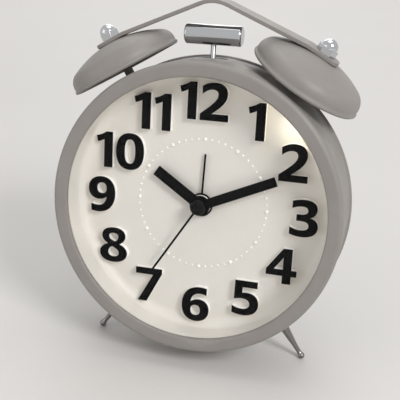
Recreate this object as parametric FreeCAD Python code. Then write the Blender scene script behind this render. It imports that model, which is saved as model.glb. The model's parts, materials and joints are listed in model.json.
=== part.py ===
import FreeCAD, Part
import math
import os

# Twin-bell table alarm clock, in millimetres.
# It is drawn square to its dial first: X to the right, Y into the clock, Z up, with the dial's
# axis on Y and the bezel's front face at y = 0.  At the end everything is leaned back onto its
# feet and moved so that the origin is on the table, under the middle of the clock.

V = FreeCAD.Vector
CENTRE = V(0, 0, 0)
BACKWARD = V(0, 1, 0)

# Case
OPENING_R = 55.0          # bezel opening
CASE_R = 61.2             # outside of bezel and drum
CASE_WALL = 1.0
BEZEL_DEPTH = 5.0
LIP = 1.8                 # thickness of the bezel over the glass
GLASS_T = 1.1
FLANGE_Y = LIP + GLASS_T + 0.2        # y of the dial's flange, behind the glass
SPIGOT_R = CASE_R - CASE_WALL - 0.3   # bezel's plug inside the drum
DRUM_END = 30.0           # y of the drum's rear edge
ROLLED_R = 62.1           # rolled rim at the rear edge
COVER_R = 59.4            # back cover, inside the drum
COVER_FACE = 37.2         # y of the back cover's outer face
COVER_T = 1.2
PILLAR_RING = 49.0        # ring of the four case screws

# Dial
FLOOR = 16.8              # y of the dial's face
DIAL_T = 1.2
DOT_RING = 28.0
NUMERAL_RING = 44.5
NUMERAL_H = 15.5
NUMERAL_RISE = 2.6
FACE_T = 0.4

# Hands: angle clockwise from twelve, length, y of the back of the blade
BLADE_T = 0.4
ALARM_ANGLE, ALARM_LENGTH, ALARM_Y = 2.0, 22.0, 15.7
HOUR_ANGLE, HOUR_LENGTH, HOUR_Y = 303.7, 24.0, 14.2
MINUTE_ANGLE, MINUTE_LENGTH, MINUTE_Y = 65.8, 34.8, 12.7
SECOND_ANGLE, SECOND_LENGTH, SECOND_Y = 212.3, 37.4, 11.1

# Movement
MOVE_X = 28.0             # half width of the housing
MOVE_LOW, MOVE_HIGH = -24.0, 28.0
PLATE_Y = 18.4            # front of the front plate
SHELL_Y = 19.6            # front edge of the rear shell
SHELL_END = 34.4
FIT = 0.05                # radial running clearance
CENTRE_DIST = 9.6         # dial axis to the setting arbor
ALARM_DIST = 12.0         # dial axis to the alarm setting arbor
SCREWS = ((-25, 25), (25, 25), (-25, -21), (25, -21))
THIRD_DIST = 9.0          # dial axis to the third wheel's arbor
MOTION_M = 0.4            # module of the motion work
HOUR_M = 2 * CENTRE_DIST / 50
THIRD_M = 0.25
SECOND_M = 2 * THIRD_DIST / 68

# Bells, handle, hammer
BELL_X, BELL_Y, BELL_Z = 38.3, 24.9, 53.7   # middle of the right bell's rim
BELL_TILT = 30.4          # degrees that a bell's axis leans out to its side
BELL_NOD = 5.0            # degrees that bells and handle lean forward
BELL_R = 24.2
BELL_H = 13.0
BELL_T = 1.0
BELL_SKIRT = 2.6          # height of the straight edge below the rounded shoulder
SHOULDER_R = 6.0
BELL_TOP = BELL_H - 0.25  # flat seat under the handle, above the rim
STRAP_T = 1.6
STRAP_W = 10.0
PAD_HALF = 7.0
HANDLE_SLOPE = 23.1       # degrees of the handle's flanks
HANDLE_R = 14.0           # inside of the bend at its peak
HAMMER_Y = 22.0
PIVOT_Z = 45.0
HEAD_Z = 70.5
HEAD_HALF = 12.0
HEAD_R = 4.2

# Legs and rear foot
LEG_ANGLE = 35.5          # from the vertical
LEG_Y = 24.9
BALL_R = 1.5
BALL_DIST = 81.1
FLAT = 0.15
LAMP_Y = 11.2
LEAN = 7.5                # degrees the dial leans back

# Battery and switches
CELL_R = 7.15
CELL_L = 49.0
CELL_Y = 28.2
CELL_Z = -40.0
SWITCH_X, SWITCH_Z = 26.0, 37.0
HINGE_Y = COVER_FACE + 1.6   # battery door
HINGE_Z = CELL_Z - 11.0
EAR_R = 1.45


def cylinder(r, y0, y1, x=0.0, z=0.0):
    return Part.makeCylinder(r, y1 - y0, V(x, y0, z), BACKWARD)


def tube(r_out, r_in, y0, y1, x=0.0, z=0.0):
    return cylinder(r_out, y0, y1, x, z).cut(cylinder(r_in, y0 - 1, y1 + 1, x, z))


def block(x0, x1, y0, y1, z0, z1):
    return Part.makeBox(x1 - x0, y1 - y0, z1 - z0, V(x0, y0, z0))


def rounded_block(x0, x1, y0, y1, z0, z1, r, direction):
    body = block(x0, x1, y0, y1, z0, z1)
    edges = [e for e in body.Edges if abs(abs(e.tangentAt(e.FirstParameter).dot(direction)) - 1) < 1e-6]
    return body.makeFillet(r, edges)


def turned(points, angle=0.0, y=0.0):
    """A turned piece: (radius, distance) points, turned about the line that leaves the dial's axis
    at the angle given, clockwise from the top, at depth y."""
    edges = []
    for start, end in zip(points, points[1:] + points[:1]):
        if start != end:
            edges.append(Part.makeLine(V(start[0], 0, start[1]), V(end[0], 0, end[1])))
    body = Part.Face(Part.Wire(edges)).revolve(CENTRE, V(0, 0, 1), 360)
    body.rotate(CENTRE, BACKWARD, angle)
    body.translate(V(0, y, 0))
    return body


def around_y(points):
    """A ring about the dial's axis from (radius, y) points; a third number rounds that corner."""
    wire = Part.makePolygon([V(p[0], p[1], 0) for p in points] + [V(points[0][0], points[0][1], 0)])
    body = Part.Face(wire).revolve(CENTRE, BACKWARD, 360)
    for p in points:
        if len(p) == 3:
            edges = [e for e in body.Edges if is_ring(e, p[0], p[1])]
            body = body.makeFillet(p[2], edges)
    return body


def is_ring(edge, r, y):
    if not isinstance(edge.Curve, Part.Circle):
        return False
    return abs(edge.Curve.Radius - r) < 1e-4 and abs(edge.Curve.Center.y - y) < 1e-4


def polar(r, angle):
    """x and z of a point at radius r, clockwise from twelve."""
    a = math.radians(angle)
    return r * math.sin(a), r * math.cos(a)


def cable(points, r):
    """A thin wire through the points, rounded at each bend."""
    body = None
    for start, end in zip(points, points[1:]):
        run = V(*end).sub(V(*start))
        piece = Part.makeCylinder(r, run.Length, V(*start), run)
        if body is None:
            body = piece
        else:
            body = body.fuse(Part.makeSphere(r, V(*start))).fuse(piece)
    return body


def gear(teeth, module, y0, y1, x, z, toward, bore):
    """A spur wheel with a tooth pointing in the direction `toward`, in degrees from +X to +Z."""
    pitch = math.pi * 2 / teeth
    radius = module * teeth / 2
    points = []
    for i in range(teeth):
        middle = math.radians(toward) + i * pitch
        for offset, r in ((-0.27, -1.0), (-0.10, 0.6), (0.10, 0.6), (0.27, -1.0)):
            a = middle + offset * pitch
            reach = radius + r * module
            points.append(V(x + reach * math.cos(a), y0, z + reach * math.sin(a)))
    points.append(points[0])
    body = Part.Face(Part.makePolygon(points)).extrude(V(0, y1 - y0, 0))
    if bore:
        body = body.cut(cylinder(bore, y0 - 1, y1 + 1, x, z))
    return body


# ---- case ----

def front_bezel():
    """Ring that frames the glass, with a spigot that plugs into the drum."""
    return around_y([
        (OPENING_R, 0.0, 0.7), (CASE_R, 0.0, 2.0), (CASE_R, BEZEL_DEPTH), (SPIGOT_R, BEZEL_DEPTH),
        (SPIGOT_R, 9.0), (57.5, 9.0), (57.5, LIP), (OPENING_R, LIP)])


def lens():
    return cylinder(57.1, LIP + 0.1, LIP + 0.1 + GLASS_T)


def case_drum():
    """Drawn steel barrel with a rolled rear rim, a slot for the hammer and holes for posts and legs."""
    inner = CASE_R - CASE_WALL
    body = tube(CASE_R, inner, BEZEL_DEPTH + 0.05, DRUM_END - 0.9)
    rim = Part.makeTorus(ROLLED_R - 0.9, 0.9, V(0, DRUM_END - 0.9, 0), BACKWARD)
    body = body.fuse(rim)
    body = body.cut(cylinder(inner, DRUM_END - 3.0, DRUM_END + 1))
    slot = rounded_block(-6.5, 6.5, HAMMER_Y - 2.6, HAMMER_Y + 2.6, 55, 66, 2.55, V(0, 0, 1))
    body = body.cut(slot)
    for side in (1, -1):
        body = body.cut(on_bell_axis(Part.makeCylinder(1.6, 10, V(0, 0, -10)), side))
        body = body.cut(turned([(0, 55), (1.6, 55), (1.6, 66), (0, 66)], 180 + side * LEG_ANGLE, LEG_Y))
    return body


def back_cover():
    """Black pan that closes the drum and carries the knobs, the switch, the button and the cell."""
    body = around_y([
        (0, COVER_FACE - COVER_T), (COVER_R - COVER_T, COVER_FACE - COVER_T), (COVER_R - COVER_T, 28.4),
        (COVER_R, 28.4), (COVER_R, DRUM_END + 0.15), (CASE_R, DRUM_END + 0.15), (CASE_R, DRUM_END + 1.3),
        (COVER_R, DRUM_END + 1.3), (COVER_R, COVER_FACE, 1.1), (0, COVER_FACE)])
    body = body.cut(cylinder(2.0, 30, 40, -CENTRE_DIST, 0))
    body = body.cut(cylinder(2.0, 30, 40, ALARM_DIST, 0))
    for x in (-CENTRE_DIST, ALARM_DIST):
        body = body.fuse(tube(8.4, 7.8, COVER_FACE - 0.4, COVER_FACE + 0.9, x, 0))
    for angle in (45, 135, 225, 315):
        x, z = polar(PILLAR_RING, angle)
        body = body.cut(cylinder(1.6, 30, 40, x, z))
    opening = block(-28.4, 28.4, 30, 40, CELL_Z - 8.0, CELL_Z + 8.0)
    body = body.cut(opening)
    body = body.cut(cylinder(4.3, 30, 40, -SWITCH_X, SWITCH_Z))
    body = body.fuse(tube(5.6, 4.3, COVER_FACE - 0.4, COVER_FACE + 0.8, -SWITCH_X, SWITCH_Z))
    body = body.cut(block(SWITCH_X - 1.7, SWITCH_X + 1.7, 30, 40, SWITCH_Z - 4.6, SWITCH_Z + 4.6))
    frame = block(SWITCH_X - 4, SWITCH_X + 4, COVER_FACE - 0.4, COVER_FACE + 0.7, SWITCH_Z - 7, SWITCH_Z + 7)
    body = body.fuse(frame.cut(block(SWITCH_X - 2.6, SWITCH_X + 2.6, 30, 40, SWITCH_Z - 5.6, SWITCH_Z + 5.6)))
    for x in (-25.5, 22.5):
        ear = block(x, x + 3, COVER_FACE - 0.5, HINGE_Y, HINGE_Z - EAR_R, HINGE_Z + EAR_R)
        ear = ear.fuse(Part.makeCylinder(EAR_R, 3, V(x, HINGE_Y, HINGE_Z), V(1, 0, 0)))
        hole = Part.makeCylinder(0.75 + FIT, 5, V(x - 1, HINGE_Y, HINGE_Z), V(1, 0, 0))
        body = body.fuse(ear.cut(hole))
    for x, z in ((-12.3, 32.3), (-12.3, 44.2), (-24.0, 44.7)):
        body = body.fuse(cylinder(1.5, 32.02, COVER_FACE - 0.5, x, z))
    return body.removeSplitter()


def battery_door():
    """Lid over the cell; it drops open on two pins at its lower edge."""
    y0 = COVER_FACE + 0.15
    body = rounded_block(-31, 31, y0, y0 + 1.6, CELL_Z - 9.3, CELL_Z + 11.2, 1.4, BACKWARD)
    for side in (-1, 1):
        arm = block(side * 20.6 - 1.6, side * 20.6 + 1.6, y0 + 0.1, y0 + 1.6, HINGE_Z, CELL_Z - 9.0)
        knuckle = Part.makeCylinder(1.35, 3.2, V(side * 20.6 - 1.6, HINGE_Y, HINGE_Z), V(1, 0, 0))
        start = 19.0 if side > 0 else -25.5
        pin = Part.makeCylinder(0.75, 6.5, V(start, HINGE_Y, HINGE_Z), V(1, 0, 0))
        body = body.fuse(arm).fuse(knuckle).fuse(pin)
    lip = block(-6, 6, y0 + 1.5, y0 + 2.5, CELL_Z + 8.6, CELL_Z + 9.8)
    latch = block(-5, 5, y0 - 2.4, y0 + 0.1, CELL_Z + 6.4, CELL_Z + 7.4)
    return body.fuse(lip).fuse(latch).removeSplitter()


def case_screws():
    """Pan-head screws through the cover into the dial's pillars."""
    screws = []
    for angle in (45, 135, 225, 315):
        x, z = polar(PILLAR_RING, angle)
        head = cylinder(2.7, COVER_FACE + 0.02, COVER_FACE + 1.5, x, z)
        head = head.makeFillet(0.8, [e for e in head.Edges if is_ring(e, 2.7, COVER_FACE + 1.5)])
        head = head.cut(block(x - 1.5, x + 1.5, COVER_FACE + 0.8, COVER_FACE + 2, z - 0.25, z + 0.25))
        head = head.cut(block(x - 0.25, x + 0.25, COVER_FACE + 0.8, COVER_FACE + 2, z - 1.5, z + 1.5))
        screws.append(head.fuse(cylinder(1.2, 26.0, COVER_FACE + 0.1, x, z)))
    return screws


# ---- dial ----

def dial():
    """White moulded dish: flange behind the glass, deep wall, floor, and four pillars at the back."""
    wall = OPENING_R + 0.4
    body = around_y([
        (4.3, FLOOR), (wall, FLOOR, 4.5), (wall, FLANGE_Y), (57.1, FLANGE_Y), (57.1, FLANGE_Y + 1.1),
        (wall + 1.1, FLANGE_Y + 1.1),
        (wall + 1.1, FLOOR + DIAL_T, 4.0), (4.3, FLOOR + DIAL_T)])
    for angle in (45, 135, 225, 315):
        x, z = polar(PILLAR_RING, angle)
        pillar = cylinder(3.2, FLOOR + 0.6, COVER_FACE - COVER_T - 0.1, x, z)
        body = body.fuse(pillar).cut(cylinder(1.25, 24.0, 40, x, z))
    x, z = polar(OPENING_R, 45)
    hole = Part.makeCylinder(1.7, 6, V(x - 1.5, LAMP_Y, z - 1.5), V(1, 0, 1))
    return body.cut(hole)


def minute_dots():
    """Sixty raised studs, larger at the hours."""
    dots = []
    for i in range(60):
        r = 0.8 if i % 5 == 0 else 0.5
        x, z = polar(DOT_RING, 6 * i)
        dots.append(Part.makeCone(r, 0.6 * r, 0.6 * r, V(x, FLOOR - 0.01, z), V(0, -1, 0)))
    return dots


# Bold figures, NUMERAL_H tall, each drawn from its own lower left corner.
# Two numbers are a straight line to a point; six are a curve.
GLYPHS = {
    "0": (12.6, [
        [(6.3, 15.7), (10.6, 15.7, 12.6, 12.6, 12.6, 7.75), (12.6, 2.9, 10.6, -0.2, 6.3, -0.2),
         (2.0, -0.2, 0, 2.9, 0, 7.75), (0, 12.6, 2.0, 15.7, 6.3, 15.7)],
        [(6.3, 13.0), (4.5, 13.0, 3.9, 11.2, 3.9, 7.75), (3.9, 4.3, 4.5, 2.5, 6.3, 2.5),
         (8.1, 2.5, 8.7, 4.3, 8.7, 7.75), (8.7, 11.2, 8.1, 13.0, 6.3, 13.0)]]),
    "1": (7.3, [
        [(3.5, 0), (7.3, 0), (7.3, 15.5), (4.5, 15.5), (3.4, 14.7, 1.8, 13.9, 0, 13.5), (0.6, 10.9),
         (1.8, 11.2, 2.7, 11.6, 3.5, 12.1)]]),
    "2": (12.0, [
        [(0, 0), (12.0, 0), (12.0, 2.9), (4.9, 2.9), (8.8, 5.7, 11.3, 8.0, 11.3, 11.2),
         (11.3, 14.1, 9.2, 15.7, 5.9, 15.7), (3.9, 15.7, 2.1, 15.1, 0.6, 14.0), (0.8, 10.8),
         (2.2, 12.1, 3.6, 12.8, 5.0, 12.8), (6.6, 12.8, 7.4, 12.1, 7.4, 10.8),
         (7.4, 8.7, 5.4, 6.9, 0, 2.7)]]),
    "3": (11.7, [
        [(0.6, 14.8), (2.1, 15.4, 3.9, 15.7, 5.6, 15.7), (9.0, 15.7, 11.0, 14.3, 11.0, 11.9),
         (11.0, 10.1, 9.9, 8.7, 8.0, 8.2), (10.4, 7.8, 11.7, 6.4, 11.7, 4.4),
         (11.7, 1.5, 9.2, -0.2, 5.1, -0.2), (3.2, -0.2, 1.3, 0.1, 0, 0.8), (0, 3.8),
         (1.4, 3.0, 3.1, 2.6, 4.6, 2.6), (6.7, 2.6, 7.8, 3.3, 7.8, 4.6), (7.8, 5.9, 6.6, 6.6, 4.4, 6.6),
         (2.6, 6.6), (2.6, 9.3), (4.3, 9.3), (6.2, 9.3, 7.2, 9.9, 7.2, 11.1),
         (7.2, 12.2, 6.3, 12.8, 4.7, 12.8), (3.3, 12.8, 2.0, 12.4, 0.6, 11.7)]]),
    "4": (13.0, [
        [(7.0, 0), (10.7, 0), (10.7, 3.5), (13.0, 3.5), (13.0, 6.2), (10.7, 6.2), (10.7, 15.5), (6.8, 15.5),
         (0, 6.1), (0, 3.5), (7.0, 3.5)],
        [(3.3, 6.2), (7.1, 11.6), (7.1, 6.2)]]),
    "5": (11.5, [
        [(0.9, 15.5), (0.7, 6.9), (1.9, 7.3, 3.0, 7.5, 4.1, 7.5), (6.4, 7.5, 7.6, 6.6, 7.6, 5.0),
         (7.6, 3.5, 6.4, 2.6, 4.2, 2.6), (2.8, 2.6, 1.3, 3.0, 0, 3.7), (0, 0.7),
         (1.3, 0.1, 3.0, -0.2, 4.9, -0.2), (9.1, -0.2, 11.5, 1.9, 11.5, 5.2),
         (11.5, 8.3, 9.4, 10.2, 6.0, 10.2), (5.4, 10.2, 4.8, 10.1, 4.2, 10.0), (4.3, 12.6),
         (10.7, 12.6), (10.7, 15.5)]]),
    "6": (12.3, [
        [(11.0, 15.3), (10.1, 15.6, 9.0, 15.7, 7.9, 15.7), (3.0, 15.7, 0, 12.4, 0, 7.1),
         (0, 2.6, 2.4, -0.2, 6.4, -0.2), (9.9, -0.2, 12.3, 1.9, 12.3, 5.1),
         (12.3, 8.1, 10.4, 10.0, 7.4, 10.0), (6.1, 10.0, 4.8, 9.5, 3.9, 8.6),
         (4.2, 11.4, 5.8, 12.8, 8.2, 12.8), (9.1, 12.8, 10.2, 12.6, 11.0, 12.2)],
        [(6.2, 7.3), (4.8, 7.3, 4.0, 6.4, 4.0, 5.0), (4.0, 3.4, 4.8, 2.5, 6.2, 2.5),
         (7.6, 2.5, 8.4, 3.4, 8.4, 4.9), (8.4, 6.4, 7.6, 7.3, 6.2, 7.3)]]),
    "7": (12.0, [
        [(0, 15.5), (0, 12.6), (8.0, 12.6), (1.3, 0), (5.4, 0), (12.0, 13.2), (12.0, 15.5)]]),
    "8": (12.6, [
        [(6.3, 15.7), (9.7, 15.7, 11.7, 14.2, 11.7, 11.9), (11.7, 10.2, 10.6, 9.0, 8.9, 8.2),
         (11.3, 7.3, 12.6, 6.0, 12.6, 4.1), (12.6, 1.4, 10.1, -0.2, 6.3, -0.2), (2.5, -0.2, 0, 1.4, 0, 4.1),
         (0, 6.0, 1.3, 7.3, 3.7, 8.2), (2.0, 9.0, 0.9, 10.2, 0.9, 11.9), (0.9, 14.2, 2.9, 15.7, 6.3, 15.7)],
        [(6.2, 13.2), (4.9, 13.2, 4.1, 12.6, 4.1, 11.6), (4.1, 10.6, 5.0, 9.9, 6.9, 9.3),
         (8.0, 9.9, 8.5, 10.7, 8.5, 11.6), (8.5, 12.6, 7.6, 13.2, 6.2, 13.2)],
        [(6.3, 2.3), (7.9, 2.3, 8.8, 3.1, 8.8, 4.2), (8.8, 5.3, 7.9, 6.1, 5.6, 7.0),
         (4.4, 6.3, 3.8, 5.4, 3.8, 4.3), (3.8, 3.1, 4.8, 2.3, 6.3, 2.3)]]),
}
DIGIT_GAP = 1.6
INWARD = {4: 1.5, 10: 3.0}   # hours whose figures stand nearer the centre, and by how much
# Fine shift of single hours' figures to suit the eye: to the right, and up
NUDGE = {
    1: (-0.6, -0.8), 2: (-0.3, 0), 3: (-0.2, -0.2), 4: (-0.6, -0.4), 6: (0.2, -0.2), 7: (0.6, -0.4),
    8: (0, -0.4), 9: (0, -0.2), 10: (-0.6, -0.8), 11: (-0.4, -0.4), 12: (-0.6, -0.4)}


def half_turned(glyph):
    """The same figure turned upside down."""
    width, contours = glyph
    limits = (width, NUMERAL_H)
    flipped = []
    for contour in contours:
        flipped.append([tuple(limits[i % 2] - value for i, value in enumerate(point)) for point in contour])
    return width, flipped


GLYPHS["9"] = half_turned(GLYPHS["6"])


def contour_wire(contour, x, y, z):
    def at(u, v):
        return V(x + u, y, z + v)
    edges = []
    here = contour[0]
    for step in contour[1:]:
        if len(step) == 2:
            edges.append(Part.makeLine(at(*here), at(*step)))
        else:
            curve = Part.BezierCurve()
            curve.setPoles([at(*here), at(*step[0:2]), at(*step[2:4]), at(*step[4:6])])
            edges.append(curve.toShape())
        here = step[-2:]
    if abs(here[0] - contour[0][0]) + abs(here[1] - contour[0][1]) > 1e-6:
        edges.append(Part.makeLine(at(*here), at(*contour[0])))
    return Part.Wire(edges)


def numerals(y_back, y_front):
    """One solid per digit, between two depths."""
    solids = []
    for hour in range(1, 13):
        text = str(hour)
        width = sum(GLYPHS[c][0] for c in text) + DIGIT_GAP * (len(text) - 1)
        x, z = polar(NUMERAL_RING - INWARD.get(hour, 0), 30 * hour)
        aside, rise = NUDGE.get(hour, (0, 0))
        left, low = x + aside - width / 2, z + rise - NUMERAL_H / 2
        for c in text:
            wires = [contour_wire(k, left, y_back, low) for k in GLYPHS[c][1]]
            face = Part.makeFace(wires, "Part::FaceMakerBullseye")
            solids.append(face.extrude(V(0, y_front - y_back, 0)).Solids[0])
            left += GLYPHS[c][0] + DIGIT_GAP
    return solids


def numeral_bodies():
    """White figures moulded proud of the floor; their outer ends stop short of the wall's curve."""
    edge = OPENING_R + 0.4 - 0.4
    wall = around_y([(30, FLOOR), (edge, FLOOR, 4.5), (edge, 6), (62, 6), (62, FLOOR + 1), (30, FLOOR + 1)])
    return [digit.cut(wall) for digit in numerals(FLOOR - 0.01, FLOOR - NUMERAL_RISE)]


def numeral_faces():
    return numerals(FLOOR - NUMERAL_RISE - 0.01, FLOOR - NUMERAL_RISE - FACE_T)


# ---- hands ----

def blade(width, length, y, start=0.0):
    return block(-width / 2, width / 2, y - BLADE_T, y, start, length)


def set_at(shape, angle):
    shape.rotate(CENTRE, BACKWARD, angle)
    return shape


def alarm_hand():
    body = cylinder(5.1, ALARM_Y - BLADE_T, ALARM_Y).fuse(blade(0.8, ALARM_LENGTH, ALARM_Y))
    return set_at(body.removeSplitter().cut(cylinder(2.83, 0, 40)), ALARM_ANGLE)


def hour_hand():
    body = cylinder(4.3, HOUR_Y - BLADE_T, HOUR_Y).fuse(blade(4.8, HOUR_LENGTH, HOUR_Y))
    return set_at(body.removeSplitter().cut(cylinder(2.03, 0, 40)), HOUR_ANGLE)


def minute_hand():
    body = cylinder(4.2, MINUTE_Y - BLADE_T, MINUTE_Y).fuse(blade(4.1, MINUTE_LENGTH, MINUTE_Y))
    return set_at(body.removeSplitter().cut(cylinder(1.23, 0, 40)), MINUTE_ANGLE)


def second_hand():
    hub = cylinder(2.2, SECOND_Y - BLADE_T, SECOND_Y + 0.5)
    body = hub.fuse(blade(0.9, SECOND_LENGTH, SECOND_Y))
    return set_at(body.removeSplitter().cut(cylinder(0.53, 0, 40)), SECOND_ANGLE)


def hand_cap():
    """Glossy domed button on the end of the second hand's arbor."""
    y = SECOND_Y - BLADE_T - 0.02
    dome = cylinder(3.3, y - 2.0, y)
    dome = dome.makeFillet(1.3, [e for e in dome.Edges if is_ring(e, 3.3, y - 2.0)])
    return dome.cut(cylinder(0.53, y - 0.9, y + 1))


# ---- movement ----

def second_arbor():
    pinion = gear(8, SECOND_M, 28.3, 29.7, 0, 0, 90 + 22.5, 0)
    return cylinder(0.5, SECOND_Y - BLADE_T - 0.8, 33.0).fuse(pinion)


def minute_arbor():
    """Brass tube over the second hand's arbor, with the motion work's pinion."""
    body = cylinder(1.2, MINUTE_Y - BLADE_T - 0.3, 27.4)
    body = body.fuse(gear(12, MOTION_M, 23.8, 25.0, 0, 0, 180 + 15, 0))
    return body.cut(cylinder(0.5 + FIT, 0, 40))


def centre_wheel():
    """Driving wheel, held on the minute arbor by friction."""
    return gear(64, THIRD_M, 25.9, 26.7, 0, 0, 90, 1.23)


def third_wheel():
    body = cylinder(0.5, 24.9, 33.8, 0, THIRD_DIST)
    body = body.fuse(gear(8, THIRD_M, 25.6, 27.0, 0, THIRD_DIST, 270 + 22.5, 0))
    return body.fuse(gear(60, SECOND_M, 28.6, 29.4, 0, THIRD_DIST, 270, 0))


def hour_wheel():
    """Pipe and wheel moulded in one, turning on the minute arbor."""
    body = cylinder(2.0, HOUR_Y - BLADE_T - 0.25, 22.6)
    body = body.fuse(gear(40, HOUR_M, 21.7, 22.6, 0, 0, 180, 0))
    return body.cut(cylinder(1.2 + FIT, 0, 40))


def alarm_wheel():
    body = cylinder(2.8, ALARM_Y - BLADE_T - 0.2, 21.0)
    body = body.fuse(gear(48, MOTION_M, 20.1, 21.0, 0, 0, 0, 0))
    return body.cut(cylinder(2.0 + FIT, 0, 40))


def setting_wheel():
    """Intermediate wheel of the motion work; its arbor comes out at the back to carry the knob."""
    body = cylinder(0.95, 21.4, COVER_FACE + 4.0, -CENTRE_DIST, 0)
    body = body.fuse(gear(10, HOUR_M, 21.5, 22.9, -CENTRE_DIST, 0, 18, 0))
    return body.fuse(gear(36, MOTION_M, 24.0, 24.8, -CENTRE_DIST, 0, 0, 0))


def alarm_arbor():
    body = cylinder(0.95, 19.9, COVER_FACE + 4.0, ALARM_DIST, 0)
    return body.fuse(gear(12, MOTION_M, 19.95, 21.2, ALARM_DIST, 0, 180 + 15, 0))


def movement_front():
    """Front plate with the bushing that centres the movement in the dial."""
    body = block(-MOVE_X, MOVE_X, PLATE_Y, SHELL_Y - 0.02, MOVE_LOW, MOVE_HIGH)
    body = body.fuse(cylinder(4.0, FLOOR - 0.2, PLATE_Y + 0.2))
    for x, z in SCREWS:
        body = body.cut(cylinder(0.9, 10, 30, x, z))
    return body.cut(cylinder(2.8 + FIT, 0, 40)).removeSplitter()


def movement_shell():
    """Rear shell, open at the front, with bearings for the arbors."""
    body = rounded_block(-MOVE_X, MOVE_X, SHELL_Y, SHELL_END, MOVE_LOW, MOVE_HIGH, 2.0, BACKWARD)
    body = body.cut(block(-MOVE_X + 1.2, MOVE_X - 1.2, 10, SHELL_END - 1.2, MOVE_LOW + 1.2, MOVE_HIGH - 1.2))
    for x in (-CENTRE_DIST, ALARM_DIST):
        body = body.fuse(cylinder(2.2, 30.0, SHELL_END - 0.5, x, 0))
        body = body.cut(cylinder(0.95 + FIT, 20, 40, x, 0))
    for x, z in SCREWS:
        body = body.fuse(cylinder(2.2, SHELL_Y, SHELL_END - 0.5, x, z)).cut(cylinder(0.85, 10, 26.0, x, z))
    for x, z in ((-15.0, -15.0), (14.4, -18.2)):
        body = body.fuse(cylinder(1.2, 27.62, SHELL_END - 0.5, x, z))
    body = body.fuse(cylinder(1.8, 31.0, SHELL_END - 0.5, 0, 0)).cut(cylinder(0.5 + FIT, 20, 33.4, 0, 0))
    body = body.fuse(cylinder(1.8, 31.0, SHELL_END - 0.5, 0, THIRD_DIST))
    return body.cut(cylinder(0.5 + FIT, 20, 34.0, 0, THIRD_DIST)).removeSplitter()


def movement_screws():
    screws = []
    for x, z in SCREWS:
        head = cylinder(1.5, PLATE_Y - 0.32, PLATE_Y - 0.02, x, z)
        screws.append(head.fuse(cylinder(0.8, PLATE_Y - 0.2, 25.0, x, z)))
    return screws


def stepper_coil():
    """Fine copper winding between two flanges, with its core along X."""
    axis = V(1, 0, 0)
    body = Part.makeCylinder(3.4, 18, V(-9, 27.0, -15), axis)
    for x in (-10.2, 9.0):
        body = body.fuse(block(x, x + 1.2, 22.8, 31.2, -19.2, -10.8))
    return body.cut(block(-20, 20, 26.3, 27.7, -16.5, -13.5))


def stepper_stator():
    """Iron yoke through the coil, with the motor's sealed rotor cup at one end."""
    body = block(-14.5, 14.5, 26.4, 27.6, -16.4, -13.6)
    body = body.fuse(block(-17.0, -13.0, 26.4, 27.6, -19.5, -10.0))
    body = body.fuse(block(13.0, 22.0, 26.4, 27.6, -19.5, -10.5))
    return body.fuse(cylinder(3.6, 24.6, 29.4, 18.0, -15.0)).removeSplitter()


def knob(x):
    """Finger knob with a coin edge."""
    y0, y1, r = COVER_FACE + 1.1, COVER_FACE + 8.4, 7.0
    body = cylinder(r, y0, y1, x, 0)
    body = body.makeFillet(0.8, [e for e in body.Edges if is_ring(e, r, y1)])
    for i in range(24):
        dx, dz = polar(r + 0.35, 15 * i)
        body = body.cut(cylinder(0.6, y0 + 1.2, y1 + 1, x + dx, dz))
    body = body.cut(cylinder(0.98, y0 - 1, COVER_FACE + 4.1, x, 0))
    dish = Part.makeSphere(14.0, V(x, y1 + 13.3, 0))
    return body.cut(dish)


def time_knob():
    return knob(-CENTRE_DIST)


def alarm_knob():
    return knob(ALARM_DIST)


# ---- cell, board, switches, lamp ----

def cell():
    """Round 1.5 V cell, 50.5 mm over its button."""
    axis = V(1, 0, 0)
    body = Part.makeCylinder(CELL_R, CELL_L, V(-CELL_L / 2, CELL_Y, CELL_Z), axis)
    rims = [e for e in body.Edges if isinstance(e.Curve, Part.Circle)]
    body = body.makeFillet(0.6, rims)
    return body.fuse(Part.makeCylinder(2.6, 1.6, V(CELL_L / 2 - 0.1, CELL_Y, CELL_Z), axis))


def cell_tray():
    """Open box for the cell, hung from the back cover."""
    body = block(-29.6, 29.6, 19.6, COVER_FACE - COVER_T - 0.02, CELL_Z - 9.2, CELL_Z + 9.2)
    body = body.cut(block(-28.4, 28.4, 20.8, 40, CELL_Z - 8.0, CELL_Z + 8.0))
    for side in (-1, 1):
        corner = block(side * 29.0 - 8, side * 29.0 + 8, 10, 40, CELL_Z - 16, CELL_Z - 8.5)
        body = body.cut(corner.common(tube(90, 57.6, 10, 40)))
    return body


def contact_plate():
    """Flat spring-brass contact at the cell's button."""
    body = block(26.2, 26.6, 22.0, 35.0, CELL_Z - 6.5, CELL_Z + 6.5)
    return body.fuse(block(26.2, 28.3, 21.6, 22.0, CELL_Z - 6.5, CELL_Z + 6.5)).removeSplitter()


def contact_spring():
    """Cone of spring wire at the cell's flat end, on its backing plate."""
    helix = Part.makeHelix(1.1, 2.5, 4.2)
    profile = Part.Wire(Part.makeCircle(0.3, V(4.2, 0, 0), V(0, 1, 0)))
    coil = Part.Wire(helix.Edges).makePipeShell([profile], True, True)
    coil.rotate(CENTRE, V(0, 1, 0), 90)
    coil.translate(V(-27.75, CELL_Y, CELL_Z))
    plate = block(-28.3, -27.9, 22.0, 35.0, CELL_Z - 6.5, CELL_Z + 6.5)
    return coil.fuse(plate)


def circuit_board():
    return block(-31.0, -10.5, 31.0, 32.0, 30.5, 46.0)


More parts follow.
